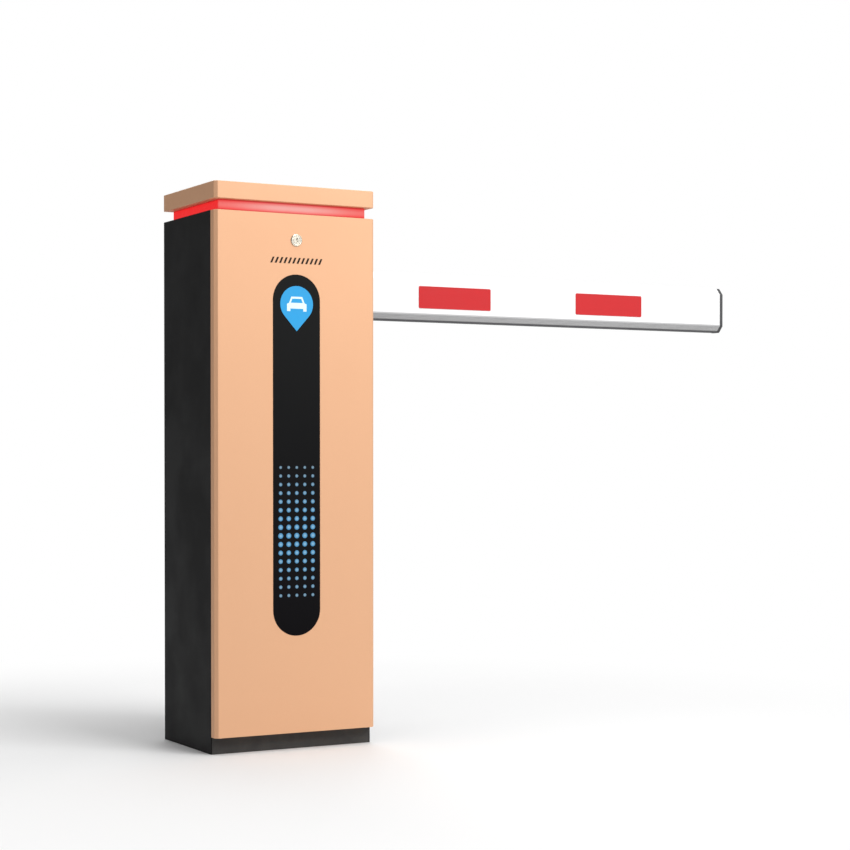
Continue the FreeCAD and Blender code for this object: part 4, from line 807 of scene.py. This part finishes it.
copies("anchor_foot_bolts", foot_bolt,
       [(x, y, foot_top) for x in (anchor_low.x + foot_edge, anchor_high.x - foot_edge)
        for y in (anchor_low.y + foot_edge, anchor_high.y - foot_edge)],
       bearing_steel, "cabinet", "zinc_steel", turn=(0, 0, 3.1))


# ---------------------------------------------------------------------------------- terminal rail
# Rolled steel rail screwed to the machine plate, with a row of beige screw terminals and a
# grey two-pole breaker clipped on it.
def prism(outline, low, high, along="Y"):
    """Straight bar as a bmesh; the outline holds the two other coordinates in x, y, z order."""
    shape = bmesh.new()
    ends = []
    for level in (low, high):
        ends.append([shape.verts.new({"X": (level, first, second), "Y": (first, level, second),
                                      "Z": (first, second, level)}[along])
                     for first, second in outline])
    shape.faces.new(ends[0])
    shape.faces.new(ends[1])
    for step in range(len(outline)):
        following = (step + 1) % len(outline)
        shape.faces.new((ends[0][step], ends[0][following], ends[1][following], ends[1][step]))
    bmesh.ops.recalc_face_normals(shape, faces=shape.faces)
    return shape


def box_shape(low, high):
    return prism([(low[0], low[1]), (high[0], low[1]), (high[0], high[1]), (low[0], high[1])],
                 low[2], high[2], along="Z")


rail_low, rail_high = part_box("din_rail")
rail_wall = 0.0012
rail_lip = 0.005
hat = [(rail_low.y, rail_low.z), (rail_low.y, rail_low.z + rail_lip),
       (rail_high.y - rail_wall, rail_low.z + rail_lip),
       (rail_high.y - rail_wall, rail_high.z - rail_lip),
       (rail_low.y, rail_high.z - rail_lip), (rail_low.y, rail_high.z),
       (rail_low.y + rail_wall, rail_high.z),
       (rail_low.y + rail_wall, rail_high.z - rail_lip + rail_wall),
       (rail_high.y, rail_high.z - rail_lip + rail_wall),
       (rail_high.y, rail_low.z + rail_lip - rail_wall),
       (rail_low.y + rail_wall, rail_low.z + rail_lip - rail_wall),
       (rail_low.y + rail_wall, rail_low.z)]
made("rolled_rail", zinc_plate, "din_rail", prism(hat, rail_low.x, rail_high.x, along="X"),
     radius=0.0003)

beige_plastic = finish("beige_plastic", (0.55, 0.47, 0.33), (0.5, 0.42, 0.29), 0.4, 0.55,
                       grain=1400, bump=0.08, patches=60)
terminals_low, terminals_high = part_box("terminal_blocks")
terminal_wide = 0.006
terminal_pitch = 0.0062
terminal_count = 10
deep = terminals_high.y - terminals_low.y
tall = (terminals_high.z - terminals_low.z) / 2
steps = [(deep, -tall), (deep * 0.5, -tall), (deep * 0.36, -tall * 0.74), (deep * 0.16, -tall * 0.6),
         (0, -tall * 0.34), (0, tall * 0.34), (deep * 0.16, tall * 0.6),
         (deep * 0.36, tall * 0.74), (deep * 0.5, tall), (deep, tall)]
terminal = prism(steps, 0, terminal_wide - 0.0003, along="X")
terminal_middle = (terminals_low.z + terminals_high.z) / 2
terminal_lefts = [terminals_low.x + terminal_pitch * step for step in range(terminal_count)]
copies("screw_terminals", terminal,
       [(left, terminals_low.y, terminal_middle) for left in terminal_lefts],
       beige_plastic, "cabinet", "beige_plastic", "terminal_blocks", smooth=8)
slotted_screw = turned([(0, 0.0), (0.0016, 0.0), (0.0018, 0.0004), (0.0018, 0.0012), (0, 0.0012)],
                       sides=12)
copies("terminal_screws", slotted_screw,
       [(left + terminal_wide / 2, terminals_low.y + deep * 0.1, terminal_middle + side * tall * 0.5)
        for left in terminal_lefts for side in (-1, 1)],
       bearing_steel, "cabinet", "beige_plastic", turn=(0, 3.1, 0))

grey_plastic = finish("grey_plastic", (0.42, 0.43, 0.43), (0.37, 0.38, 0.39), 0.36, 0.5,
                      grain=1400, bump=0.12, patches=30)
dark_plastic = finish("dark_plastic", (0.016, 0.016, 0.017), (0.024, 0.024, 0.025), 0.3, 0.45,
                      grain=1400, bump=0.12, patches=30)
softened("breaker", grey_plastic, 0.0012)
softened("breaker_lever", dark_plastic, 0.0008)
breaker_low, breaker_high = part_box("breaker")
breaker_columns = [breaker_low.x + (breaker_high.x - breaker_low.x) * share
                   for share in (0.25, 0.75)]
copies("breaker_screws", turned([(0, -0.0001), (0.0012, -0.0001, 4), (0.0012, -0.0008, 4),
                                 (0.0026, -0.0008), (0.0029, -0.0004), (0.0029, 0.0004),
                                 (0, 0.0004)]),
       [(x, breaker_low.y, z) for x in breaker_columns
        for z in (breaker_low.z + 0.009, breaker_high.z - 0.009)],
       bearing_steel, "cabinet", "grey_plastic", turn=(0, 3.1, 0))


# ---------------------------------------------------------------------------------- controller
# Moulded grey box with the barrier's controller. A lid with pressed ribs is held by four
# screws, and small lamps show its state.
control_low, control_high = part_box("controller_box")
lid_back = control_low.y + 0.013
lid_face = control_low.y + 0.0014
lid_set_in = 0.0012
made("controller_case", grey_plastic, "controller_box",
     box_shape((control_low.x, lid_back + 0.0008, control_low.z), control_high),
     box_shape((control_low.x + 0.003, lid_back - 0.0004, control_low.z + 0.003),
               (control_high.x - 0.003, lid_back + 0.0016, control_high.z - 0.003)),
     radius=0.0016)
lid_plastic = finish("lid_plastic", (0.5, 0.51, 0.51), (0.45, 0.46, 0.46), 0.34, 0.46, grain=1400,
                     bump=0.12, patches=30)
lid_mesh = mesh_of("controller_lid", box_shape(
    (control_low.x + lid_set_in, lid_face, control_low.z + lid_set_in),
    (control_high.x - lid_set_in, lid_back, control_high.z - lid_set_in)))
lid_mesh.materials.append(lid_plastic)
controller_lid = round_edges(new_object("controller_lid", lid_mesh), 0.0026, 3)
hang(controller_lid, "cabinet", "grey_plastic")
rib = prism([(-0.052, -0.0011), (0.052, -0.0011), (0.053, 0.0), (0.052, 0.0011), (-0.052, 0.0011),
             (-0.053, 0.0)], -0.0012, 0.0006)
lid_middle = (control_low.x + control_high.x) / 2
copies("lid_ribs", rib,
       [(lid_middle, lid_face, control_low.z + 0.03 + 0.0065 * step) for step in range(8)],
       lid_plastic, "cabinet", "grey_plastic")
lid_edge = 0.011
copies("lid_screws", turned([(0, -0.0002), (0.0014, -0.0002, 4), (0.0014, -0.0011, 4),
                             (0.0032, -0.0011), (0.0036, -0.0005), (0.0036, 0.0004),
                             (0, 0.0004)]),
       [(x, lid_face, z) for x in (control_low.x + lid_edge, control_high.x - lid_edge)
        for z in (control_low.z + lid_edge, control_high.z - lid_edge)],
       bearing_steel, "cabinet", "grey_plastic", turn=(0, 3.1, 0))


def lamp_finish(name, colour, glow):
    """Small signal lamp: clear colour with a weak glow that varies over its face."""
    material, tree_nodes, links, shader = shader_tree(name)
    coordinates = tree_nodes.new("ShaderNodeTexCoord")
    surface = place_group(tree_nodes, links, SURFACE_GRAIN, coordinates, Grain=800.0,
                          Patches=300.0, Smoothest=0.1, Roughest=0.2)
    deep_shade = tuple(part * 0.6 for part in colour)
    mixed = blended(tree_nodes, links, colour, deep_shade, surface.outputs["Drift"])
    links.new(mixed, shader.inputs["Base Color"])
    links.new(mixed, shader.inputs["Emission Color"])
    links.new(surface.outputs["Roughness"], shader.inputs["Roughness"])
    shader.inputs["Emission Strength"].default_value = glow
    return material


green_lamp = lamp_finish("green_lamp", (0.05, 0.75, 0.16), 1.4)
copies("state_lamps", turned([(0, -0.0012), (0.0011, -0.001), (0.0017, -0.0004), (0.0018, 0.0004),
                              (0, 0.0004)], sides=12),
       [(lid_middle - 0.03 + 0.012 * step, lid_face, control_high.z - 0.032) for step in range(5)],
       green_lamp, "cabinet", "grey_plastic", smooth=60)


# ---------------------------------------------------------------------------------- light band
# A red acrylic ring under the hood, lit from behind by LED strips on an aluminium channel. Its
# glow has a painted highlight at the middle of the door side, and painted shade along its
# upper and lower edges.
brushed_aluminium = finish("bare_aluminium", (0.6, 0.61, 0.62), (0.7, 0.7, 0.71), 0.26, 0.38,
                           grain=1300, bump=0.06, metal=1.0, patches=40)
softened("led_channel", brushed_aluminium, 0.0005)
white_board = finish("white_board", (0.72, 0.72, 0.7), (0.62, 0.63, 0.62), 0.34, 0.5, grain=1500,
                     bump=0.05, patches=90)
painted("led_strips", white_board)
strips_low, strips_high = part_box("led_strips")
led_level = (strips_low.z + strips_high.z) / 2
led_pitch = 0.0152
led_package = box_shape((-0.0022, -0.0012, -0.0022), (0.0022, 0.0012, 0.0022))
led_across = [-0.122 + led_pitch * step for step in range(17)]
led_along = [-0.095 + led_pitch * step for step in range(12)]
led_lamp = lamp_finish("red_led", (0.9, 0.05, 0.04), 2.0)
copies("led_packages", led_package,
       [(x, y, led_level) for x in led_across
        for y in (strips_low.y - 0.0002, strips_high.y + 0.0002)]
       + [(x, y, led_level) for y in led_along
          for x in (strips_low.x - 0.0002, strips_high.x + 0.0002)],
       led_lamp, "cabinet", "white_board")


def band_glow():
    """Lit red acrylic, with a painted highlight towards the middle of the door side and painted
    shade at its two edges.
    """
    material, tree_nodes, links, shader = shader_tree("red_diffuser")
    coordinates = tree_nodes.new("ShaderNodeTexCoord")
    split = tree_nodes.new("ShaderNodeSeparateXYZ")
    links.new(coordinates.outputs["Object"], split.inputs["Vector"])
    front = add_node(tree_nodes, "ShaderNodeMapRange", From_Min=band_low.y + 0.006,
                     From_Max=band_low.y + 0.0005)
    links.new(split.outputs["Y"], front.inputs["Value"])
    across = add_node(tree_nodes, "ShaderNodeMapRange", interpolation_type="SMOOTHSTEP",
                      From_Min=band_high.x, From_Max=0.02, To_Min=0.4, To_Max=1.0)
    outward = add_node(tree_nodes, "ShaderNodeMath", operation="ABSOLUTE")
    links.new(split.outputs["X"], outward.inputs[0])
    links.new(outward.outputs["Value"], across.inputs["Value"])
    up = add_node(tree_nodes, "ShaderNodeMath", operation="SUBTRACT")
    up.inputs[1].default_value = (band_low.z + band_high.z) / 2
    links.new(split.outputs["Z"], up.inputs[0])
    off_centre = add_node(tree_nodes, "ShaderNodeMath", operation="ABSOLUTE")
    links.new(up.outputs["Value"], off_centre.inputs[0])
    half = (band_high.z - band_low.z) / 2
    # Painted shade: the glow is darkened to a deep red along the band's upper and lower edges.
    edge = add_node(tree_nodes, "ShaderNodeMapRange", interpolation_type="SMOOTHSTEP",
                    From_Min=half * 0.62, From_Max=half, To_Max=0.85)
    links.new(off_centre.outputs["Value"], edge.inputs["Value"])
    core = add_node(tree_nodes, "ShaderNodeMapRange", interpolation_type="SMOOTHSTEP",
                    From_Min=half * 0.1, From_Max=half * 0.9, To_Min=1.0, To_Max=0.3)
    links.new(off_centre.outputs["Value"], core.inputs["Value"])
    wide = add_node(tree_nodes, "ShaderNodeMath", operation="MULTIPLY")
    links.new(front.outputs["Result"], wide.inputs[0])
    links.new(across.outputs["Result"], wide.inputs[1])
    # Painted highlight: the red glow lightens to pink at the middle of the door side.
    painted_highlight = add_node(tree_nodes, "ShaderNodeMath", operation="MULTIPLY")
    links.new(wide.outputs["Value"], painted_highlight.inputs[0])
    links.new(core.outputs["Result"], painted_highlight.inputs[1])
    lit = blended(tree_nodes, links, (0.93, 0.014, 0.016), (0.95, 0.46, 0.42), painted_highlight.outputs["Value"])
    # The deep red here is painted shade.
    glow_with_painted_shade = blended(tree_nodes, links, lit, (0.42, 0.008, 0.012), edge.outputs["Result"])
    surface = place_group(tree_nodes, links, SURFACE_GRAIN, coordinates, Grain=900.0,
                          Patches=40.0, Smoothest=0.22, Roughest=0.34)
    links.new(blended(tree_nodes, links, (0.12, 0.003, 0.003), (0.09, 0.002, 0.002),
                      surface.outputs["Drift"]), shader.inputs["Base Color"])
    links.new(glow_with_painted_shade, shader.inputs["Emission Color"])
    links.new(surface.outputs["Roughness"], shader.inputs["Roughness"])
    shader.inputs["Emission Strength"].default_value = 0.86
    shader.inputs["Specular IOR Level"].default_value = 0.12
    return material


band_low, band_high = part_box("light_band")
softened("light_band", band_glow(), 0.0025, segments=4)


# ---------------------------------------------------------------------------------- hood
# Folded steel lid over the light band, carried by four round posts, in the same metallic
# rose-gold paint as the door.
def rose_gold(name, colour, shade):
    """Metallic paint under clear lacquer: flakes that glitter a little, and a faint peel."""
    material, tree_nodes, links, shader = shader_tree(name)
    coordinates = tree_nodes.new("ShaderNodeTexCoord")
    surface = place_group(tree_nodes, links, SURFACE_GRAIN, coordinates, Grain=260.0,
                          Patches=5.0, Smoothest=0.5, Roughest=0.6)
    flakes = add_node(tree_nodes, "ShaderNodeTexVoronoi", Scale=1600)
    links.new(coordinates.outputs["Object"], flakes.inputs["Vector"])
    grey = tree_nodes.new("ShaderNodeRGBToBW")
    links.new(flakes.outputs["Color"], grey.inputs["Color"])
    base = blended(tree_nodes, links, colour, shade, surface.outputs["Drift"])
    glitter = add_node(tree_nodes, "ShaderNodeMapRange", From_Min=0.5, From_Max=1.0, To_Max=0.12)
    links.new(grey.outputs["Val"], glitter.inputs["Value"])
    bright = tuple(min(1, part * 1.3) for part in colour)
    links.new(blended(tree_nodes, links, base, bright, glitter.outputs["Result"]),
              shader.inputs["Base Color"])
    links.new(surface.outputs["Roughness"], shader.inputs["Roughness"])
    relief = add_node(tree_nodes, "ShaderNodeBump", Strength=0.05, Distance=0.0003)
    links.new(surface.outputs["Height"], relief.inputs["Height"])
    links.new(relief.outputs["Normal"], shader.inputs["Normal"])
    shader.inputs["Metallic"].default_value = 0.1
    shader.inputs["Specular IOR Level"].default_value = 0.2
    shader.inputs["Coat Weight"].default_value = 0.04
    shader.inputs["Coat Roughness"].default_value = 0.3
    return material


rose_gold_paint = rose_gold("rose_gold_paint", (0.745, 0.422, 0.248), (0.725, 0.408, 0.238))
softened("hood", rose_gold_paint, 0.0012, segments=3)
softened("hood_posts", zinc_plate, 0.0005)


# ---------------------------------------------------------------------------------- boom
# Extruded octagonal aluminium tube in white powder coat, with a ribbed grey rubber bumper
# strip round its underside and a black moulded cap in each end. Four long bolts clamp it
# between the shaft's flange and a plate behind.
white_coat = finish("white_powder_coat", (0.86, 0.86, 0.86), (0.84, 0.84, 0.845), 0.34, 0.46,
                    grain=1500, bump=0.1, patches=6)
softened("boom_tube", white_coat, 0.0012)


def strip_finish():
    """Grey rubber with painted shade: dark along its lower edge and the flat underside."""
    material, tree_nodes, links, shader = shader_tree("grey_rubber")
    coordinates = tree_nodes.new("ShaderNodeTexCoord")
    surface = place_group(tree_nodes, links, SURFACE_GRAIN, coordinates, Grain=1200.0,
                          Patches=12.0, Smoothest=0.6, Roughest=0.75)
    split = tree_nodes.new("ShaderNodeSeparateXYZ")
    links.new(coordinates.outputs["Object"], split.inputs["Vector"])
    # Painted shade: the bottom few millimetres of the strip, facing the ground, are painted dark.
    painted_underside_shade = add_node(tree_nodes, "ShaderNodeMapRange", interpolation_type="SMOOTHSTEP",
                      From_Min=strip_low.z + 0.0042, From_Max=strip_low.z + 0.0026)
    links.new(split.outputs["Z"], painted_underside_shade.inputs["Value"])
    grey = blended(tree_nodes, links, (0.44, 0.44, 0.445), (0.5, 0.5, 0.505),
                   surface.outputs["Drift"])
    links.new(blended(tree_nodes, links, grey, (0.1, 0.1, 0.105), painted_underside_shade.outputs["Result"]),
              shader.inputs["Base Color"])
    links.new(surface.outputs["Roughness"], shader.inputs["Roughness"])
    relief = add_node(tree_nodes, "ShaderNodeBump", Strength=0.15, Distance=0.0003)
    links.new(surface.outputs["Height"], relief.inputs["Height"])
    links.new(relief.outputs["Normal"], shader.inputs["Normal"])
    return material


strip_low, strip_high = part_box("bumper_strip")
strip_wall = 0.0022
bevel_y = 0.012
bevel_z = 0.0135
strip_ribs = 5
rib_depth = 0.00045


def strip_half(outward):
    """Outer outline of one side of the strip, from its upper edge down to its underside."""
    face = strip_low.y if outward < 0 else strip_high.y
    inside = -outward
    points = [(face, strip_high.z), (face, strip_low.z + bevel_z)]
    for step in range(1, 2 * strip_ribs):
        share = step / (2 * strip_ribs)
        sink = rib_depth if step % 2 else 0.0
        points.append((face + inside * (bevel_y * share + sink * 0.7),
                       strip_low.z + bevel_z * (1 - share) + sink * 0.7))
    points.append((face + inside * bevel_y, strip_low.z))
    return points


outer_half = strip_half(-1)
inner_half = [(strip_low.y + bevel_y + 0.0009, strip_low.z + strip_wall),
              (strip_low.y + strip_wall, strip_low.z + bevel_z + 0.0009),
              (strip_low.y + strip_wall, strip_high.z)]
middle_y = strip_low.y + strip_high.y
strip_outline = (outer_half + [(middle_y - y, z) for y, z in reversed(outer_half)]
                 + [(middle_y - y, z) for y, z in reversed(inner_half)] + inner_half)
made("ribbed_bumper_strip", strip_finish(), "bumper_strip",
     prism(strip_outline, strip_low.x, strip_high.x, along="X"), smooth=25)
cap_plastic = finish("cap_plastic", (0.055, 0.055, 0.058), (0.075, 0.075, 0.078), 0.4, 0.55,
                     grain=1300, bump=0.16, patches=30)
softened("boom_caps", cap_plastic, 0.0022, segments=3)
softened("clamp_plate", zinc_plate, 0.001)
bolts_low, bolts_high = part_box("boom_bolts")
bolt_head = 0.0085
nut_front = bolts_low.y
nut_back = nut_front + 0.006
head_front = bolts_high.y - 0.006
through_bolt = turned(
    [(0, nut_front), (0.0044, nut_front), (0.005, nut_front + 0.0006),
     (0.005, nut_front + 0.0012), (0.0068, nut_front + 0.0012), (0.0072, nut_front + 0.0018, 6),
     (0.0072, nut_back - 0.0012, 6), (bolt_head, nut_back - 0.0011), (bolt_head, nut_back),
     (0.005, nut_back), (0.005, head_front), (bolt_head, head_front),
     (bolt_head, head_front + 0.0011), (0.0072, head_front + 0.0012, 6),
     (0.0072, bolts_high.y - 0.0006, 6), (0.0066, bolts_high.y), (0, bolts_high.y)])
copies("through_bolts", through_bolt,
       [(x, 0, z) for x in (bolts_low.x + bolt_head, bolts_high.x - bolt_head)
        for z in (bolts_low.z + bolt_head, bolts_high.z - bolt_head)],
       bearing_steel, "boom", "zinc_steel", "boom_bolts", turn=(0, 3.1, 0))


# ---------------------------------------------------------------------------------- reflectors
# Self-adhesive red prismatic reflectors, two on each face of the boom, with a raised sealed
# rim round a field of small cells.
def reflector_finish():
    """Red sheet of small bright cells with darker seams between them."""
    material, tree_nodes, links, shader = shader_tree("red_reflector")
    coordinates = tree_nodes.new("ShaderNodeTexCoord")
    turned_grid = add_node(tree_nodes, "ShaderNodeMapping")
    turned_grid.inputs["Rotation"].default_value = (0, math.radians(45), 0)
    links.new(coordinates.outputs["Object"], turned_grid.inputs["Vector"])
    cells = add_node(tree_nodes, "ShaderNodeTexVoronoi", feature="DISTANCE_TO_EDGE",
                     Scale=230, Randomness=0.0)
    links.new(turned_grid.outputs["Vector"], cells.inputs["Vector"])
    seam = add_node(tree_nodes, "ShaderNodeMapRange", From_Min=0.02, From_Max=0.09, To_Min=0.45,
                    To_Max=0.0)
    links.new(cells.outputs["Distance"], seam.inputs["Value"])
    surface = place_group(tree_nodes, links, SURFACE_GRAIN, coordinates, Grain=500.0,
                          Patches=60.0, Smoothest=0.12, Roughest=0.22)
    red = blended(tree_nodes, links, (0.63, 0.03, 0.034), (0.56, 0.024, 0.028),
                  surface.outputs["Drift"])
    links.new(blended(tree_nodes, links, red, (0.36, 0.012, 0.016), seam.outputs["Result"]),
              shader.inputs["Base Color"])
    links.new(surface.outputs["Roughness"], shader.inputs["Roughness"])
    relief = add_node(tree_nodes, "ShaderNodeBump", Strength=0.3, Distance=0.0003)
    links.new(cells.outputs["Distance"], relief.inputs["Height"])
    links.new(relief.outputs["Normal"], shader.inputs["Normal"])
    shader.inputs["Coat Weight"].default_value = 0.5
    shader.inputs["Coat Roughness"].default_value = 0.08
    return material


def rounded_rectangle(low, high, radius, steps=5):
    """Outline of a rectangle with round corners, anticlockwise."""
    points = []
    corners = ((high[0] - radius, high[1] - radius, 0), (low[0] + radius, high[1] - radius, 1),
               (low[0] + radius, low[1] + radius, 2), (high[0] - radius, low[1] + radius, 3))
    for across, up, quarter in corners:
        for step in range(steps + 1):
            angle = math.pi / 2 * (quarter + step / steps)
            points.append((across + radius * math.cos(angle), up + radius * math.sin(angle)))
    return points


def reflector_tile(left, face, outward):
    """Thin tile with rounded corners whose field lies a little below its rim."""
    shape = bmesh.new()
    reach = reflector_thick * outward
    rings = []
    for inset, depth in ((0.0, 0.0), (0.0, reach * 0.75), (0.0004, reach), (0.0018, reach),
                         (0.0024, reach * 0.6)):
        outline = rounded_rectangle((left + inset, tile_bottom + inset),
                                    (left + reflector_long - inset, tile_top - inset),
                                    0.003 - inset * 0.8)
        rings.append([shape.verts.new((x, face + depth, z)) for x, z in outline])
    for low, high in zip(rings, rings[1:]):
        for step in range(len(low)):
            following = (step + 1) % len(low)
            shape.faces.new((low[step], low[following], high[following], high[step]))
    shape.faces.new(rings[0])
    shape.faces.new(rings[-1])
    bmesh.ops.recalc_face_normals(shape, faces=shape.faces)
    return shape


tiles_low, tiles_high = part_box("reflectors")
reflector_thick = 0.0008
reflector_long = 0.175
tile_bottom = tiles_low.z
tile_top = tiles_high.z
tiles = [reflector_tile(left, face, outward)
         for left in (tiles_low.x, tiles_high.x - reflector_long)
         for face, outward in ((tiles_low.y + reflector_thick, -1),
                               (tiles_high.y - reflector_thick, 1))]
made("prismatic_reflectors", reflector_finish(), "reflectors", *tiles, smooth=25)


# ---------------------------------------------------------------------------------- door
# One folded pan in rose-gold paint that tilts forward on two pins near the floor. Pressed
# stiffeners are welded behind its face, and a foam rubber gasket on the cabinet seals it.
softened("door_pan", rose_gold_paint, 0.0013, segments=3)
softened("door_stiffeners", zinc_plate, 0.0008)
softened("hinge_pins", bearing_steel, 0.0003)
softened("hinge_brackets", zinc_plate, 0.0004)
softened("door_gasket", rubber, 0.0012, segments=3)


# ---------------------------------------------------------------------------------- display inlay
# Glossy black acrylic pill glued in behind the door skin, with a green circuit board on its
# back. The board's lamps shine through small domed lenses, largest in the ninth row down.
def gloss_black():
    material, tree_nodes, links, shader = shader_tree("black_acrylic")
    coordinates = tree_nodes.new("ShaderNodeTexCoord")
    surface = place_group(tree_nodes, links, SURFACE_GRAIN, coordinates, Grain=60.0,
                          Patches=7.0, Smoothest=0.07, Roughest=0.13)
    split = tree_nodes.new("ShaderNodeSeparateXYZ")
    links.new(coordinates.outputs["Object"], split.inputs["Vector"])
    # Painted reflection: the acrylic's colour grows lighter towards its top.
    rise = add_node(tree_nodes, "ShaderNodeMapRange", From_Min=inlay_low.z, From_Max=inlay_high.z)
    links.new(split.outputs["Z"], rise.inputs["Value"])
    links.new(blended(tree_nodes, links, (0.0032, 0.0027, 0.0036), (0.014, 0.0145, 0.0145),
                      rise.outputs["Result"]), shader.inputs["Base Color"])
    links.new(surface.outputs["Roughness"], shader.inputs["Roughness"])
    shader.inputs["Specular IOR Level"].default_value = 0.08
    return material


inlay_low, inlay_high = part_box("inlay_panel")
softened("inlay_panel", gloss_black(), 0.0002)
green_board = finish("green_board", (0.01, 0.12, 0.04), (0.012, 0.16, 0.055), 0.28, 0.4,
                     grain=600, bump=0.2, patches=160)
painted("display_board", green_board)
board_low, board_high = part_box("display_board")
chip_half = 0.0045
chip_column = 0.024
chip_lowest = board_low.z + 0.03
chip_pitch = 0.048
driver_chip = box_shape((-chip_half, 0.0, -chip_half), (chip_half, 0.0012, chip_half))
copies("driver_chips", driver_chip,
       [(x, board_high.y, chip_lowest + chip_pitch * step) for step in range(5)
        for x in (-chip_column, chip_column)],
       dark_plastic, "door", "green_board")


def lens_shape(sides=14):
    """Domed lens of unit radius on the acrylic; its rim attribute runs from 0 to 1 outwards."""
    rows = [(0.0, -0.0004), (0.35, -0.00037), (0.65, -0.00028), (0.9, -0.00012), (1.0, 0.0)]
    shape = turned([(reach, level / dot_scale) for reach, level in rows] + [(0.0, 0.0)], sides=sides)
    layer = shape.verts.layers.float.new("rim")
    for corner in shape.verts:
        corner[layer] = math.hypot(corner.co.x, corner.co.z)
    return shape


def dot_glow():
    """Blue lamp, palest at its centre, that turns grey and dim away from the largest row."""
    material, tree_nodes, links, shader = shader_tree("light_dots")
    rim = add_node(tree_nodes, "ShaderNodeAttribute", attribute_name="rim")
    fall = add_node(tree_nodes, "ShaderNodeMapRange", interpolation_type="SMOOTHSTEP",
                    From_Min=0.1, From_Max=0.95)
    links.new(rim.outputs["Fac"], fall.inputs["Value"])
    coordinates = tree_nodes.new("ShaderNodeTexCoord")
    split = tree_nodes.new("ShaderNodeSeparateXYZ")
    above = add_node(tree_nodes, "ShaderNodeMath", operation="SUBTRACT")
    away = add_node(tree_nodes, "ShaderNodeMath", operation="ABSOLUTE")
    dim = add_node(tree_nodes, "ShaderNodeMapRange", From_Min=0.03, From_Max=0.125)
    above.inputs[1].default_value = row_bottom + largest_row * row_pitch
    links.new(coordinates.outputs["Object"], split.inputs["Vector"])
    links.new(split.outputs["Z"], above.inputs[0])
    links.new(above.outputs["Value"], away.inputs[0])
    links.new(away.outputs["Value"], dim.inputs["Value"])
    blue = blended(tree_nodes, links, (0.27, 0.5, 0.68), (0.05, 0.24, 0.46),
                   fall.outputs["Result"])
    grey = blended(tree_nodes, links, (0.27, 0.36, 0.41), (0.1, 0.17, 0.23),
                   fall.outputs["Result"])
    lit = blended(tree_nodes, links, blue, grey, dim.outputs["Result"])
    links.new(lit, shader.inputs["Emission Color"])
    shader.inputs["Base Color"].default_value = (0.02, 0.05, 0.08, 1)
    shader.inputs["Emission Strength"].default_value = 0.9
    shader.inputs["Specular IOR Level"].default_value = 0.2
    shader.inputs["Roughness"].default_value = 0.3
    return material


dots_low, dots_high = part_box("dot_lenses")
dot_columns = 5
dot_rows = 16
largest_row = 7
dot_largest = 0.0052
dot_smallest = 0.0028
dot_scale = 0.004
column_pitch = 0.0165
row_pitch = 0.01587
dot_places = []
dot_sizes = []
row_bottom = dots_low.z + dot_smallest + (dot_largest - dot_smallest) * 0.125
for row in range(dot_rows):
    fade = abs(row - largest_row) / (dot_rows - 1 - largest_row)
    dot_size = dot_largest - fade * (dot_largest - dot_smallest)
    for column in range(dot_columns):
        dot_places.append(((column - (dot_columns - 1) / 2) * column_pitch, dots_high.y,
                           row_bottom + row * row_pitch))
        dot_sizes.append(dot_size)
copies("dot_lenses_domed", lens_shape(), dot_places, dot_glow(), "door", "light_dots",
       "dot_lenses", sizes=dot_sizes, smooth=60)


# ---------------------------------------------------------------------------------- map pin
# Printed blue map pin on the acrylic, lit softly from behind, with a small white car cut from
# the same film. The dark slanted marks under the lock are printed straight on the door.
def print_finish(name, colour, glow, rough=0.35):
    """Printed film: one ink with a faint mottle, glowing a little where it is lit."""
    material, tree_nodes, links, shader = shader_tree(name)
    coordinates = tree_nodes.new("ShaderNodeTexCoord")
    surface = place_group(tree_nodes, links, SURFACE_GRAIN, coordinates, Grain=900.0,
                          Patches=50.0, Smoothest=rough - 0.05, Roughest=rough + 0.1)
    ink = blended(tree_nodes, links, colour, tuple(part * 0.88 for part in colour),
                  surface.outputs["Drift"])
    links.new(ink, shader.inputs["Base Color"])
    links.new(ink, shader.inputs["Emission Color"])
    links.new(surface.outputs["Roughness"], shader.inputs["Roughness"])
    shader.inputs["Emission Strength"].default_value = glow
    shader.inputs["Specular IOR Level"].default_value = 0.15
    return material


softened("map_pin_badge", print_finish("blue_print", (0.029, 0.28, 0.57), 0.36), 0.00015)
softened("pin_symbol", print_finish("white_print", (0.66, 0.8, 0.86), 0.2), 0.0001)
painted("legend_marks", print_finish("dark_print", (0.022, 0.013, 0.008), 0.0, 0.5))


# ---------------------------------------------------------------------------------- lock
# Chromed cam lock with a raised rim round a keyed plug. The zinc cam on the plug's end
# catches behind the cabinet's head rail.
chrome = finish("chromed_brass", (0.8, 0.75, 0.64), (0.83, 0.79, 0.69), 0.24, 0.3, grain=1800,
                bump=0.01, metal=1.0, patches=60)
lock_low, lock_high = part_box("lock_body")
lock_centre = ((lock_low.x + lock_high.x) / 2, (lock_low.z + lock_high.z) / 2)
lock_face = lock_low.y
door_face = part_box("door_pan")[0].y
barrel = 0.0095
bore = 0.00605
made("lock_body_chromed", chrome, "lock_body",
     turned([(bore, lock_face + 0.0003), (bore + 0.0003, lock_face), (0.0078, lock_face),
             (0.0082, lock_face + 0.0005), (0.0094, lock_face + 0.0005), (0.0098, lock_face),
             (0.0104, lock_face), (0.0115, lock_face + 0.0011), (0.0115, door_face),
             (barrel, door_face), (barrel, lock_high.y - 0.0005), (barrel - 0.0005, lock_high.y),
             (bore, lock_high.y)], centre=lock_centre, sides=48, closed=True))
softened("lock_plug", chrome, 0.0003)
softened("lock_cam", zinc_plate, 0.0005)
